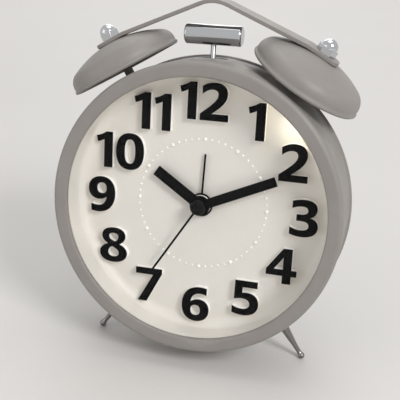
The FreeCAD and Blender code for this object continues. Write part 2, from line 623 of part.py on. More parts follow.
def board_parts():
    """Chip under its resin cap, crystal can and two chip capacitors."""
    chip = Part.makeSphere(6.0, V(-18.5, 35.6, 38.5)).common(block(-25, -10, 29.0, 30.98, 32, 48))
    crystal = Part.makeCylinder(1.0, 6.0, V(-20.0, 29.9, 32.6), V(1, 0, 0))
    first = block(-29.5, -27.0, 29.6, 30.98, 41.0, 42.6)
    second = block(-25.5, -23.0, 29.6, 30.98, 41.0, 42.6)
    return [chip, crystal, first, second]


def light_switch():
    """Push switch on the board, under the light button."""
    body = block(-SWITCH_X - 3, -SWITCH_X + 3, 32.02, 33.1, SWITCH_Z - 3, SWITCH_Z + 3)
    return body.fuse(cylinder(1.7, 33.0, 33.5, -SWITCH_X, SWITCH_Z))


def light_button():
    body = cylinder(4.0, 35.0, COVER_FACE + 2.6, -SWITCH_X, SWITCH_Z)
    body = body.makeFillet(0.8, [e for e in body.Edges if is_ring(e, 4.0, COVER_FACE + 2.6)])
    body = body.fuse(cylinder(5.4, 34.9, 35.9, -SWITCH_X, SWITCH_Z))
    return body.fuse(cylinder(1.6, 34.6, 35.0, -SWITCH_X, SWITCH_Z))


def alarm_switch_body():
    y1 = COVER_FACE - COVER_T - 0.02
    body = block(SWITCH_X - 4.2, SWITCH_X + 4.2, 29.6, y1, SWITCH_Z - 7, SWITCH_Z + 7)
    return body.cut(block(SWITCH_X - 1.9, SWITCH_X + 1.9, 31.4, 40, SWITCH_Z - 4.9, SWITCH_Z + 4.9))


def alarm_switch_knob():
    """Sliding tongue of the alarm switch, drawn in its lower, off, position."""
    z = SWITCH_Z - 2.2
    body = block(SWITCH_X - 1.5, SWITCH_X + 1.5, 31.6, COVER_FACE + 2.4, z - 2.2, z + 2.2)
    for i in (-1, 0, 1):
        groove = z + 1.3 * i
        body = body.cut(block(SWITCH_X - 2, SWITCH_X + 2, COVER_FACE + 1.9, 50, groove - 0.25, groove + 0.25))
    return body


def lamp():
    """Small white lamp that shines across the dial from beside the figure two."""
    x, z = polar(OPENING_R - 0.2, 45)
    direction = V(1, 0, 1)
    body = Part.makeCylinder(1.4, 3.0, V(x, LAMP_Y, z), direction)
    body = body.fuse(Part.makeSphere(1.4, V(x, LAMP_Y, z)))
    x, z = polar(OPENING_R + 2.0, 45)
    return body.fuse(Part.makeCylinder(1.65, 1.1, V(x, LAMP_Y, z), direction))


def wires():
    """Insulated leads: lamp and cell to the board."""
    leads = []
    for dy, end in ((-0.7, (-12.6, 30.5, 41.4)), (0.7, (-12.2, 30.5, 39.0))):
        x1, z1 = polar(OPENING_R + 3.65, 45)
        x2, z2 = polar(OPENING_R + 3.4, 50 - dy * 1.6)
        x3, z3 = polar(OPENING_R + 1.4, 49)
        y = 27.6 + dy
        leads.append(cable([(x1, LAMP_Y + dy, z1), (x2, 14.0, z2), (x2, 21.0, z2), (x3, y, z3 + dy),
                            (14.0, y, 50.6 + dy), (-8.0, y, 50.6 + dy), end], 0.4))
    z = CELL_Z + 5.0
    leads.append(cable([(30.05, 29.0, z), (30.2, 29.0, -20.0), (30.2, 27.4, 28.0), (24.5, 27.4, 47.3),
                        (-8.0, 27.4, 47.3), (-14.5, 30.5, 45.0)], 0.4))
    leads.append(cable([(-30.05, 30.5, z), (-30.2, 30.5, -20.0), (-30.2, 30.5, 28.0),
                        (-27.0, 30.5, 31.6)], 0.4))
    return leads


# ---- bells, handle and hammer ----

def on_bell_axis(body, side):
    """Moves a piece drawn up the Z axis from z = 0 so that it stands on a bell's rim plane."""
    body.rotate(CENTRE, BACKWARD, side * BELL_TILT)
    body.rotate(CENTRE, V(1, 0, 0), BELL_NOD)
    body.translate(V(side * BELL_X, BELL_Y, BELL_Z))
    return body


def to_drum(radius):
    """Distance down a bell's axis, from its rim plane to a cylinder about the dial's axis."""
    ux = math.sin(math.radians(BELL_TILT))
    uz = math.cos(math.radians(BELL_TILT)) * math.cos(math.radians(BELL_NOD))
    size = ux * ux + uz * uz
    half = (BELL_X * ux + BELL_Z * uz) / size
    return half - math.sqrt(half ** 2 - (BELL_X ** 2 + BELL_Z ** 2 - radius ** 2) / size)


def arc(centre, r, start, end):
    """An arc in the plane y = 0 between two angles from +X towards +Z."""
    points = [V(centre.x + r * math.cos(a), 0, centre.z + r * math.sin(a))
              for a in (start, (start + end) / 2, end)]
    return Part.Arc(*points).toShape()


def dome(inset):
    """Filled form of a bell, set in from its outside: straight skirt, rounded shoulder and crown."""
    rise = BELL_H - BELL_SKIRT
    crown_r = (BELL_R ** 2 - 2 * BELL_R * SHOULDER_R + rise ** 2) / (2 * (rise - SHOULDER_R))
    shoulder = V(BELL_R - SHOULDER_R, 0, BELL_SKIRT)
    crown = V(0, 0, BELL_H - crown_r)
    meeting = math.atan2(shoulder.z - crown.z, shoulder.x)
    foot = V(0, 0, -1.0 if inset else 0.0)
    base = V(BELL_R - inset, 0, foot.z)
    sides = [
        Part.makeLine(foot, base), Part.makeLine(base, V(base.x, 0, BELL_SKIRT)),
        arc(shoulder, SHOULDER_R - inset, 0, meeting), arc(crown, crown_r - inset, meeting, math.pi / 2),
        Part.makeLine(V(0, 0, BELL_H - inset), foot)]
    return Part.Face(Part.Wire(sides)).revolve(CENTRE, V(0, 0, 1), 360)


def bell(side):
    """Spun steel dome with a rolled lip, bored for its post."""
    body = dome(0).cut(dome(BELL_T))
    body = body.fuse(Part.makeTorus(BELL_R - 0.2, 0.7, V(0, 0, 0.8), V(0, 0, 1)))
    body = body.cut(Part.makeCylinder(8.0, 2.0, V(0, 0, BELL_TOP)))
    body = body.cut(Part.makeCylinder(1.9, 20, V(0, 0, 5)))
    return on_bell_axis(body, side)


def left_bell():
    return bell(-1)


def right_bell():
    return bell(1)


def hexagon(r, z, height):
    corners = []
    for i in range(6):
        a = math.radians(60 * i)
        corners.append(V(r * math.cos(a), r * math.sin(a), z))
    return Part.Face(Part.makePolygon(corners + corners[:1])).extrude(V(0, 0, height))


def bell_posts():
    """Turned posts: foot on the drum, stem, shoulder under the dome, thread through dome and strap."""
    skin = -to_drum(CASE_R)
    lower_end = -to_drum(CASE_R - CASE_WALL) - 3.1
    shoulder = BELL_H - BELL_T - 0.3
    outline = [
        (0, lower_end), (1.5, lower_end), (1.5, skin + 0.45), (2.8, skin + 0.45), (2.8, skin + 1.4),
        (2.0, skin + 2.2), (2.0, shoulder - 2.3), (3.8, shoulder - 1.7), (3.8, shoulder), (1.5, shoulder),
        (1.5, BELL_H + 3.6), (0, BELL_H + 3.6)]
    return [on_bell_axis(turned(outline), side) for side in (-1, 1)]


def bell_nuts():
    """Domed nuts that clamp the handle and the bells."""
    base = BELL_TOP + 0.04 + STRAP_T
    nuts = []
    for side in (-1, 1):
        ball = Part.makeSphere(3.5, V(0, 0, base + 2.8)).common(block(-5, 5, -5, 5, base + 2.7, base + 9))
        body = hexagon(4.3, base, 2.8).fuse(ball)
        body = body.cut(Part.makeCylinder(1.55, 3.0, V(0, 0, base - 0.1)))
        nuts.append(on_bell_axis(body, side))
    return nuts


def inner_nut(top):
    return hexagon(3.0, top - 2.2, 2.2).cut(Part.makeCylinder(1.55, 10, V(0, 0, top - 5)))


def inner_nuts():
    """Hexagon nuts inside the drum on the posts and legs."""
    inside = CASE_R - CASE_WALL
    nuts = []
    for side in (-1, 1):
        nuts.append(on_bell_axis(inner_nut(-to_drum(inside) - 0.55), side))
        body = inner_nut(inside - 0.3)
        body.rotate(CENTRE, BACKWARD, 180 - side * LEG_ANGLE)
        body.translate(V(0, LEG_Y, 0))
        nuts.append(body)
    return nuts


def handle():
    """Bent strap: a rounded peak over the dial's axis, straight flanks and a pad on each bell."""
    tilt, slope = math.radians(BELL_TILT), math.radians(HANDLE_SLOPE)
    pad_up = V(math.sin(tilt), 0, math.cos(tilt))
    pad_out = V(math.cos(tilt), 0, -math.sin(tilt))
    flank_up = V(math.sin(slope), 0, math.cos(slope))
    seat = V(BELL_X, 0, 0).add(V(pad_up).multiply(BELL_TOP + 0.02))
    inner = V(seat).sub(V(pad_out).multiply(PAD_HALF))
    outer = V(seat).add(V(pad_out).multiply(PAD_HALF))
    centre = V(0, 0, inner.z + inner.x * math.tan(slope) - HANDLE_R / math.cos(slope))
    corner = V(flank_up).add(pad_up).multiply(1 / (1 + flank_up.dot(pad_up)))

    def half(level):
        """Peak, end of the bend, start of the pad and end of the pad, at a level in the strap."""
        r = HANDLE_R + level
        return [V(0, 0, centre.z + r), V(centre).add(V(flank_up).multiply(r)),
                V(inner).add(V(corner).multiply(level)), V(outer).add(V(pad_up).multiply(level))]

    def mirror(p):
        return V(-p.x, p.y, p.z)
    low, high = half(0), half(STRAP_T)
    edges = []
    for peak, bend, start, end in (low, high):
        edges.append(Part.Arc(mirror(bend), peak, bend).toShape())
        for p, q in ((bend, start), (start, end)):
            edges.append(Part.makeLine(p, q))
            edges.append(Part.makeLine(mirror(p), mirror(q)))
    edges.append(Part.makeLine(low[3], high[3]))
    edges.append(Part.makeLine(mirror(low[3]), mirror(high[3])))
    body = Part.Face(Part.Wire(Part.__sortEdges__(edges))).extrude(V(0, STRAP_W, 0))
    body.translate(V(0, -STRAP_W / 2, 0))
    ends = [e for e in body.Edges if e.Length < STRAP_T + 0.01 and e.CenterOfMass.Length > seat.x]
    body = body.makeFillet(4.0, ends)
    body.rotate(CENTRE, V(1, 0, 0), BELL_NOD)
    body.translate(V(0, BELL_Y, BELL_Z))
    for side in (-1, 1):
        body = body.cut(on_bell_axis(Part.makeCylinder(1.8, 20, V(0, 0, 5)), side))
    return body


def hammer_head():
    axis = V(1, 0, 0)
    body = Part.makeCylinder(HEAD_R, 2 * HEAD_HALF, V(-HEAD_HALF, HAMMER_Y, HEAD_Z), axis)
    body = body.makeFillet(1.0, [e for e in body.Edges if isinstance(e.Curve, Part.Circle)])
    return body.cut(Part.makeCylinder(1.13, 6, V(0, HAMMER_Y, HEAD_Z - HEAD_R - 1), V(0, 0, 1)))


def hammer_arm():
    """Steel rod from the pivot's boss up through the slot."""
    rod = Part.makeCylinder(1.1, HEAD_Z - HEAD_R + 4.8 - PIVOT_Z, V(0, HAMMER_Y, PIVOT_Z), V(0, 0, 1))
    body = rod.fuse(cylinder(3.2, HAMMER_Y - 2.4, HAMMER_Y + 1.3, 0, PIVOT_Z))
    return body.cut(cylinder(1.0 + FIT, 10, 30, 0, PIVOT_Z))


def hammer_armature():
    """Soft-iron tongue below the pivot that the coil pulls."""
    body = block(-1.5, 1.5, HAMMER_Y - 2.4, HAMMER_Y + 2.4, PIVOT_Z - 14.5, PIVOT_Z - 3.0)
    return body.cut(cylinder(3.23, 10, 30, 0, PIVOT_Z))


def hammer_bracket():
    """Bent steel bracket that holds the pivot pin and the coil behind the dial."""
    y0, y1 = HAMMER_Y - 2.75, HAMMER_Y + 2.75
    front = block(-5, 24, y0 - 0.9, y0, PIVOT_Z - 16.4, PIVOT_Z + 4.5)
    rear = block(-5, 5, y1, y1 + 0.9, PIVOT_Z - 16.4, PIVOT_Z + 4.5)
    base = block(-5, 24, y0 - 0.9, y1 + 0.9, PIVOT_Z - 16.9, PIVOT_Z - 15.9)
    upright = block(22.6, 24, y0 - 0.9, y1 + 0.9, PIVOT_Z - 16.9, PIVOT_Z - 4.5)
    body = front.fuse(rear).fuse(base).fuse(upright)
    body = body.cut(cylinder(1.02, 10, 30, 0, PIVOT_Z))
    core_hole = Part.makeCylinder(1.7, 8, V(20, HAMMER_Y, PIVOT_Z - 10.5), V(1, 0, 0))
    return body.cut(core_hole).removeSplitter()


def hammer_spring():
    """Close-wound hair spring round the pin, with a tail against the armature."""
    axis = V(0, 1, 0)
    body = Part.makeTorus(1.8, 0.14, V(0, HAMMER_Y + 1.56, PIVOT_Z), axis)
    for y in (1.8, 2.04):
        body = body.fuse(Part.makeTorus(1.8, 0.14, V(0, HAMMER_Y + y, PIVOT_Z), axis))
    tail = Part.makeCylinder(0.12, 14.0, V(1.8, HAMMER_Y + 1.8, PIVOT_Z), V(0.06, 0, -1))
    return body.fuse(tail)


def hammer_pin():
    y0, y1 = HAMMER_Y - 4.4, HAMMER_Y + 4.4
    return cylinder(1.0, y0 + 0.5, y1, 0, PIVOT_Z)


def hammer_coil():
    """Bobbin wound with copper, on the iron core."""
    axis = V(1, 0, 0)
    z = PIVOT_Z - 10.5
    body = Part.makeCylinder(2.3, 13.0, V(8.0, HAMMER_Y, z), axis)
    for x in (7.0, 20.9):
        body = body.fuse(Part.makeCylinder(2.7, 1.0, V(x, HAMMER_Y, z), axis))
    return body.cut(Part.makeCylinder(1.6, 30, V(0, HAMMER_Y, z), axis))


def hammer_core():
    return Part.makeCylinder(1.55, 19.4, V(5.2, HAMMER_Y, PIVOT_Z - 10.5), V(1, 0, 0))


# ---- legs and foot ----

def leg(side):
    """Turned leg: collar on the drum, taper, and a ball for a foot; threaded end inside."""
    inside = CASE_R - CASE_WALL
    body = turned([
        (0, inside - 4.0), (1.5, inside - 4.0), (1.5, CASE_R + 0.3), (2.6, CASE_R + 0.3),
        (2.6, CASE_R + 1.1), (2.2, CASE_R + 1.6), (1.9, CASE_R + 6.0), (1.1, CASE_R + 14.5),
        (1.0, CASE_R + 17.6), (1.2, BALL_DIST - 0.8), (0, BALL_DIST - 0.8)],
        180 - side * LEG_ANGLE, LEG_Y)
    x, z = polar(BALL_DIST, 180 - side * LEG_ANGLE)
    return body.fuse(Part.makeSphere(BALL_R, V(x, LEG_Y, z)))


def left_leg():
    return leg(-1)


def right_leg():
    return leg(1)


def ground_at(y):
    """Height of the table under a point at depth y, in the dial's frame."""
    lean = math.radians(LEAN)
    x, z = polar(BALL_DIST, 180 - LEG_ANGLE)
    level = z * math.cos(lean) - LEG_Y * math.sin(lean) - BALL_R + FLAT
    return (level + y * math.sin(lean)) / math.cos(lean)


def rear_foot():
    """Moulded prop under the back cover."""
    y0, y1 = COVER_FACE + 0.02, COVER_FACE + 9.0
    low = ground_at(y0) - 1
    outline = [V(-13, y0, -54.6), V(13, y0, -54.6), V(11, y0, low), V(-11, y0, low), V(-13, y0, -54.6)]
    body = Part.Face(Part.makePolygon(outline)).extrude(V(0, y1 - y0, 0))
    return body.cut(block(-20, 20, y0 + 3.0, y1 + 5, -58.0, -50)).cut(below(0.72))


def foot_pad():
    """Rubber strip under the rear foot."""
    y0, y1 = COVER_FACE + 1.5, COVER_FACE + 8.4
    slab = block(-10, 10, y0, y1, -80, ground_at(y1) + 5)
    return slab.common(below(0.7)).cut(below(0.0))


def below(level):
    """Everything lower than a level above the table."""
    lean = math.radians(LEAN)
    half = Part.makeBox(400, 400, 100, V(-200, -200, -100))
    half.rotate(CENTRE, V(1, 0, 0), LEAN)
    height = ground_at(0) * math.cos(lean) + level
    half.translate(V(0, -math.sin(lean) * height, math.cos(lean) * height))
    return half


PIECES = {
    "front_bezel": front_bezel, "lens": lens, "case_drum": case_drum, "back_cover": back_cover,
    "battery_door": battery_door, "case_screws": case_screws, "dial": dial, "minute_dots": minute_dots,
    "numeral_bodies": numeral_bodies, "numeral_faces": numeral_faces, "alarm_hand": alarm_hand,
    "hour_hand": hour_hand, "minute_hand": minute_hand, "second_hand": second_hand, "hand_cap": hand_cap,
    "second_arbor": second_arbor, "minute_arbor": minute_arbor, "centre_wheel": centre_wheel,
    "third_wheel": third_wheel, "hour_wheel": hour_wheel, "alarm_wheel": alarm_wheel,
    "setting_wheel": setting_wheel, "alarm_arbor": alarm_arbor, "movement_front": movement_front,
    "movement_shell": movement_shell, "movement_screws": movement_screws, "stepper_coil": stepper_coil,
    "stepper_stator": stepper_stator, "time_knob": time_knob, "alarm_knob": alarm_knob, "cell": cell,
    "cell_tray": cell_tray, "contact_plate": contact_plate, "contact_spring": contact_spring,
    "circuit_board": circuit_board, "board_parts": board_parts, "light_switch": light_switch,
    "light_button": light_button, "alarm_switch_body": alarm_switch_body,
    "alarm_switch_knob": alarm_switch_knob, "lamp": lamp, "wires": wires, "left_bell": left_bell,
    "right_bell": right_bell, "bell_posts": bell_posts, "bell_nuts": bell_nuts, "inner_nuts": inner_nuts,
    "handle": handle, "hammer_head": hammer_head, "hammer_arm": hammer_arm,
    "hammer_armature": hammer_armature, "hammer_spring": hammer_spring,
    "hammer_bracket": hammer_bracket, "hammer_pin": hammer_pin, "hammer_coil": hammer_coil,
    "hammer_core": hammer_core, "left_leg": left_leg, "right_leg": right_leg, "rear_foot": rear_foot,
    "foot_pad": foot_pad,
}


# The pieces that reach furthest to the front and to the back.
WIDEST = ("front_bezel", "left_bell", "right_bell", "time_knob", "rear_foot")


def build():
    shapes = {}
    for name, make in PIECES.items():
        made = make()
        solids = []
        for item in (made if isinstance(made, list) else [made]):
            solids.extend(item.Solids)
        shape = Part.makeCompound(solids) if len(solids) > 1 else solids[0]
        if name in ("left_leg", "right_leg"):
            shape = shape.cut(below(0.0)).Solids[0]
        shapes[name] = shape
    for shape in shapes.values():
        shape.rotate(CENTRE, V(1, 0, 0), -LEAN)
    box = Part.makeCompound([shapes[n] for n in WIDEST]).optimalBoundingBox(False, False)
    middle = (box.YMin + box.YMax) / 2
    for shape in shapes.values():
        shape.translate(V(0, -middle, -ground_at(0) * math.cos(math.radians(LEAN))))
    return shapes


os.makedirs("parts", exist_ok=True)
for node, solid in build().items():
    solid.exportStep("parts/" + node + ".step")
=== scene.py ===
"""Twin-bell alarm clock: surface finishes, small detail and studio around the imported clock."""
import bpy
import bmesh
import json
import math
from mathutils import Matrix, Vector

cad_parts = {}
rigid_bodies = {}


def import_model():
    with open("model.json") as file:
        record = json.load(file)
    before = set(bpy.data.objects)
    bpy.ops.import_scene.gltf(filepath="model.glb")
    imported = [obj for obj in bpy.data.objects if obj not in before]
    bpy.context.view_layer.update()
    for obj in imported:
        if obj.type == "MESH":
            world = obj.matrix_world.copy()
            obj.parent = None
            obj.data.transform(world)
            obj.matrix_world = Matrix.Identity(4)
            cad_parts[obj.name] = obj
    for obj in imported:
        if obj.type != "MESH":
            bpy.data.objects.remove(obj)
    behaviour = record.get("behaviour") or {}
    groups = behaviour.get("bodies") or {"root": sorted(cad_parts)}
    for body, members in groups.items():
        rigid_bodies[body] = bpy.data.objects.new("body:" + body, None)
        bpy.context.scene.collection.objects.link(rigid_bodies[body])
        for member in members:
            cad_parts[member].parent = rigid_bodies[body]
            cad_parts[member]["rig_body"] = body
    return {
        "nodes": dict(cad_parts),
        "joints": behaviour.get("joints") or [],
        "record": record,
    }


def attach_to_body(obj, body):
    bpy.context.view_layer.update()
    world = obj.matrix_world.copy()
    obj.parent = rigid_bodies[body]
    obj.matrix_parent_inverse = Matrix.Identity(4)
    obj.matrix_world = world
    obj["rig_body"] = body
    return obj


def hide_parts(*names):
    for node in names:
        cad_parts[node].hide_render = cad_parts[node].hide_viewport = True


MM = 0.001
MICRON = 0.000001

# Clock's own millimetres: x to the right of its dial, y into the clock from the bezel's face, z up
HAND_JOINT_Y = 12.0          # where the second hand's joint stands on its axis
FLOOR_Y = 16.8               # flat of the dial
DOT_RING_R = 28.0
DOT_R, HOUR_DOT_R = 0.5, 0.8
DOT_RISE = 0.9               # height of a dot, in its radii
HUB_Y = 15.3                 # front face of the alarm hand's hub
COLLAR_R, COLLAR_BORE = 4.32, 2.95           # collar on that hub
COLLAR_RISE, COLLAR_EDGE = 0.9, 0.05
COVER_Y, DOOR_Y = 37.2, 38.95                # outer faces of the back cover and the battery door
TIME_KNOB, ALARM_KNOB = (9.6, 0.0), (-12.0, 0.0)          # on the back, seen from behind
LIGHT_BUTTON, ALARM_SWITCH = (26.0, 37.0), (-26.0, 37.0)
CELL_Z = -40.0
CELL_BAND_X = (11.8, 12.0)                   # edge of the cell's copper band, from its middle
CELL_END_X = (24.2, 24.3)                    # edge of its bare ends
RIBS_OVER_CELL, RIB_COUNT, RIB_SPACING, RIB_HALF, RIB_R = 2.4, 5, 1.2, 6.6, 0.4
WIRE_R = 0.09
WINDINGS = {                                 # coil's node, place of the first turn, turns, radius, length
    "stepper_winding": ("stepper_coil", (-8.9, 27.0, -15.0), 94.0, 3.36, 17.8),
    "hammer_winding": ("hammer_coil", (8.1, 22.0, 34.5), 67.0, 2.26, 12.7),
}

# Finishes
WEAR_WIDTH = 0.4                             # millimetres from an edge that its wear reaches
COAT_ROUGHNESS = 0.12
LENS_IOR = 1.12
LENS_SHADE = 0.02                            # share of the light on the dial that the glass takes
LAMP_GLOW = 48.0

# Meshes: millimetres between corners that are welded, and turns between faces in degrees
WELD = 0.001
FLAT_TURN = 0.4                              # up to which two faces become one
MADE_TURN, COLLAR_TURN = 40, 30              # above which a corner of a new mesh stays sharp

# Marks on the back, in millimetres and degrees
MARK_WIDTH, MARK_RISE, MARK_SINK = 0.5, 0.16, 0.04
MARK_MEET = 0.0001                           # distance up to which a line's ends are joined
MARK_MITRE = 0.5                             # keeps sharp corners from running out in long points
ARROW_R, ARROW_END = 10.4, 50                # turning arrow: radius, and angle from its top to its end
ARROW_HEAD, ARROW_HEAD_TURN = 2.0, 38
KNOB_TO_MARK, BUTTON_TO_MARK, SWITCH_TO_MARK, CELL_TO_MARK = 15.0, 9.0, 10.0, 3.4

# Camera: its direction from the dial in degrees, its distance in metres and its framing in pixels
CAMERA_AZIMUTH, CAMERA_RISE, CAMERA_ROLL = 14.36, 15.17, 3.10
CAMERA_DISTANCE = 0.3282
CAMERA_NEAR = 0.01
SENSOR_WIDTH = 36.0
FRAME_PIXELS = 400
FOCAL_PIXELS = 769
CENTRE_RIGHT, CENTRE_DOWN = 1.9, 3.9

# Studio, in metres and watts
FLOOR_RADIUS = 6.0
FLOOR_COLOUR = (222, 220, 217)
FADE = (0.5, 1.9)                            # where the lit floor fades into an even tone
LAMP_AIM = (0, 0, 0.07)
LAMPS = {                                    # place, width, power
    "key_light": ((1.05, -0.85, 1.0), 0.5, 13.5),
    "fill_light": ((-1.1, -0.9, 0.5), 1.0, 2.5),
    "top_light": ((0.1, 0.2, 1.5), 1.0, 5.0),
    "rear_light": ((-0.3, 1.2, 0.9), 1.0, 5.0),
}
ROOM_LIT, ROOM_SEEN = 0.42, 0.74             # strength of the room for the clock, and as it is seen
ROOM_COLOUR = (1.0, 0.992, 0.98, 1)

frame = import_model()
NODES = frame["nodes"]
SLOT_OF = {part["node"]: part["material_slot"] for part in frame["record"]["subparts"]}
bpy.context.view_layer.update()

hand_joint = next(j for j in frame["joints"] if j["name"] == "second_hand_turn")
RIGHT = Vector((1, 0, 0))
BACK = Vector(hand_joint["axis"]).normalized()
UP = RIGHT.cross(BACK)
ORIGIN = Vector(hand_joint["pos_m"]) - BACK * HAND_JOINT_Y * MM
CLOCK = Matrix.Translation(ORIGIN) @ Matrix((RIGHT, BACK, UP)).transposed().to_4x4() @ Matrix.Scale(MM, 4)
FACE_ON = CLOCK @ Matrix.Rotation(math.radians(90), 4, "X")      # local Z towards the viewer of the dial
FROM_BEHIND = CLOCK @ Matrix(((-1, 0, 0, 0), (0, 0, 1, 0), (0, 1, 0, 0), (0, 0, 0, 1)))


def srgb(red, green, blue):
    """A colour given as 0 to 255 screen values, as the linear colour that Blender takes."""
    linear = []
    for value in (red, green, blue):
        v = value / 255
        linear.append(v / 12.92 if v <= 0.04045 else ((v + 0.055) / 1.055) ** 2.4)
    return (*linear, 1.0)


# ---- shader groups shared by the finishes ----

class Wiring:
    """Adds nodes to one tree; sockets are given by name or number, as values or as other sockets."""

    def __init__(self, tree):
        self.tree = tree

    def add(self, kind, sockets=None, **settings):
        """A new node of a kind, with its settings and sockets."""
        node = self.tree.nodes.new(kind)
        for name, value in settings.items():
            setattr(node, name, value)
        for key, value in (sockets or {}).items():
            if isinstance(value, bpy.types.NodeSocket):
                self.tree.links.new(value, node.inputs[key])
            else:
                node.inputs[key].default_value = value
        return node

    def math(self, operation, first, second=0.0, clamp=False):
        """One operation on one or two values."""
        sockets = {0: first, 1: second}
        return self.add("ShaderNodeMath", sockets, operation=operation, use_clamp=clamp).outputs[0]

    def spread(self, value, span, out=(0.0, 1.0)):
        """Maps a value from one range to another, held at the ends."""
        sockets = {0: value, 1: span[0], 2: span[1], 3: out[0], 4: out[1]}
        return self.add("ShaderNodeMapRange", sockets).outputs[0]

    def blend(self, factor, first, second):
        """Mixes two colours."""
        return self.add("ShaderNodeMix", {0: factor, 6: first, 7: second}, data_type="RGBA").outputs[2]

    def place(self, stretch=None):
        """The piece's own place, stretched along X, Y and Z at choice."""
        where = self.add("ShaderNodeTexCoord").outputs["Object"]
        if stretch:
            where = self.add("ShaderNodeMapping", {"Vector": where, "Scale": stretch}).outputs[0]
        return where

    def noise(self, scale, detail=2.0, roughness=0.5, stretch=None):
        """A noise over the piece's own place, per metre."""
        sockets = {"Vector": self.place(stretch), "Scale": scale, "Detail": detail, "Roughness": roughness}
        return self.add("ShaderNodeTexNoise", sockets).outputs["Fac"]

    def use(self, group, **sockets):
        """The outputs of a shared group."""
        return self.add("ShaderNodeGroup", sockets, node_tree=group).outputs

    def feed(self, value, socket):
        """Links an output to an input."""
        self.tree.links.new(value, socket)


def new_group(name, inputs, outputs):
    """An empty shader group: inputs are (name, type, value), outputs (name, type)."""
    tree = bpy.data.node_groups.new(name, "ShaderNodeTree")
    for label, kind, value in inputs:
        socket = tree.interface.new_socket(label, in_out="INPUT", socket_type="NodeSocket" + kind)
        socket.default_value = value
    for label, kind in outputs:
        tree.interface.new_socket(label, in_out="OUTPUT", socket_type="NodeSocket" + kind)
    given = tree.nodes.new("NodeGroupInput").outputs
    result = tree.nodes.new("NodeGroupOutput").inputs
    return Wiring(tree), given, result


def make_drift():
    """Soft light and dark patches in a colour."""
    w, given, result = new_group(
        "colour_drift",
        [("Colour", "Color", (0.5, 0.5, 0.5, 1)), ("Scale", "Float", 60.0), ("Amount", "Float", 0.05)],
        [("Colour", "Color")])
    patches = w.noise(given["Scale"], detail=3.0, roughness=0.55)
    low = w.math("SUBTRACT", 1.0, given["Amount"])
    high = w.math("ADD", 1.0, given["Amount"])
    value = w.spread(patches, (0.3, 0.7), (low, high))
    shifted = w.add("ShaderNodeHueSaturation", {"Color": given["Colour"], "Value": value})
    w.feed(shifted.outputs[0], result["Colour"])
    return w.tree


def make_grain():
    """Fine surface relief in two sizes, as a height."""
    w, given, result = new_group(
        "fine_grain",
        [("Coarse", "Float", 900.0), ("Fine", "Float", 4500.0), ("Balance", "Float", 0.5)],
        [("Height", "Float")])
    coarse = w.noise(given["Coarse"])
    fine = w.noise(given["Fine"], roughness=0.6)
    coarse_part = w.math("MULTIPLY", coarse, w.math("SUBTRACT", 1.0, given["Balance"]))
    fine_part = w.math("MULTIPLY", fine, given["Balance"])
    w.feed(w.math("ADD", coarse_part, fine_part), result["Height"])
    return w.tree


def make_sheen_patches():
    """Roughness that wanders between two values, as where a surface has been handled."""
    w, given, result = new_group(
        "sheen_patches",
        [("Low", "Float", 0.3), ("High", "Float", 0.5), ("Scale", "Float", 90.0)],
        [("Roughness", "Float")])
    patches = w.noise(given["Scale"], detail=4.0, roughness=0.6)
    w.feed(w.spread(patches, (0.32, 0.68), (given["Low"], given["High"])), result["Roughness"])
    return w.tree


def make_dust():
    """A light settling of dust on what faces up."""
    w, given, result = new_group(
        "settled_dust",
        [("Colour", "Color", (0.5, 0.5, 0.5, 1)), ("Roughness", "Float", 0.4), ("Amount", "Float", 0.2)],
        [("Colour", "Color"), ("Roughness", "Float")])
    normal = w.add("ShaderNodeNewGeometry").outputs["Normal"]
    rise = w.add("ShaderNodeSeparateXYZ", {0: normal}).outputs["Z"]
    facing = w.spread(rise, (0.35, 1.0))
    specks = w.spread(w.noise(1600.0, detail=4.0, roughness=0.7), (0.48, 0.62), (0.25, 1.0))
    mask = w.math("MULTIPLY", w.math("MULTIPLY", facing, specks), given["Amount"], clamp=True)
    w.feed(w.blend(mask, given["Colour"], srgb(176, 170, 160)), result["Colour"])
    rough = w.math("ADD", given["Roughness"], w.math("MULTIPLY", mask, 0.4), clamp=True)
    w.feed(rough, result["Roughness"])
    return w.tree


def make_edge_wear():
    """Where a surface turns over a sharp edge, as a mask broken up by noise."""
    w, given, result = new_group(
        "edge_wear", [("Width", "Float", WEAR_WIDTH * MM), ("Amount", "Float", 0.3)], [("Mask", "Float")])
    rounded = w.add("ShaderNodeBevel", {"Radius": given["Width"]}, samples=4).outputs[0]
    straight = w.add("ShaderNodeNewGeometry").outputs["Normal"]
    sockets = {0: rounded, 1: straight}
    alike = w.add("ShaderNodeVectorMath", sockets, operation="DOT_PRODUCT").outputs["Value"]
    edge = w.spread(alike, (0.985, 0.85))
    broken = w.spread(w.noise(700.0, detail=4.0, roughness=0.7), (0.42, 0.6))
    mask = w.math("MULTIPLY", w.math("MULTIPLY", edge, broken), given["Amount"], clamp=True)
    w.feed(mask, result["Mask"])
    return w.tree


def make_draw_lines():
    """Fine parallel lines left by drawing, brushing or turning, as a height and a tone."""
    w, given, result = new_group(
        "draw_lines", [("Scale", "Float", 60.0), ("Stretch", "Vector", (1.0, 1.0, 40.0))],
        [("Height", "Float"), ("Tone", "Float")])
    run = w.add("ShaderNodeMapping", {"Vector": w.place(), "Scale": given["Stretch"]}).outputs[0]
    sockets = {"Vector": run, "Scale": given["Scale"], "Detail": 5.0, "Roughness": 0.65}
    lines = w.add("ShaderNodeTexNoise", sockets).outputs["Fac"]
    w.feed(lines, result["Height"])
    w.feed(w.spread(lines, (0.35, 0.65), (0.85, 1.1)), result["Tone"])
    return w.tree


DRIFT = make_drift()
GRAIN = make_grain()
SHEEN = make_sheen_patches()
DUST = make_dust()
WEAR = make_edge_wear()
LINES = make_draw_lines()


# ---- finishes ----

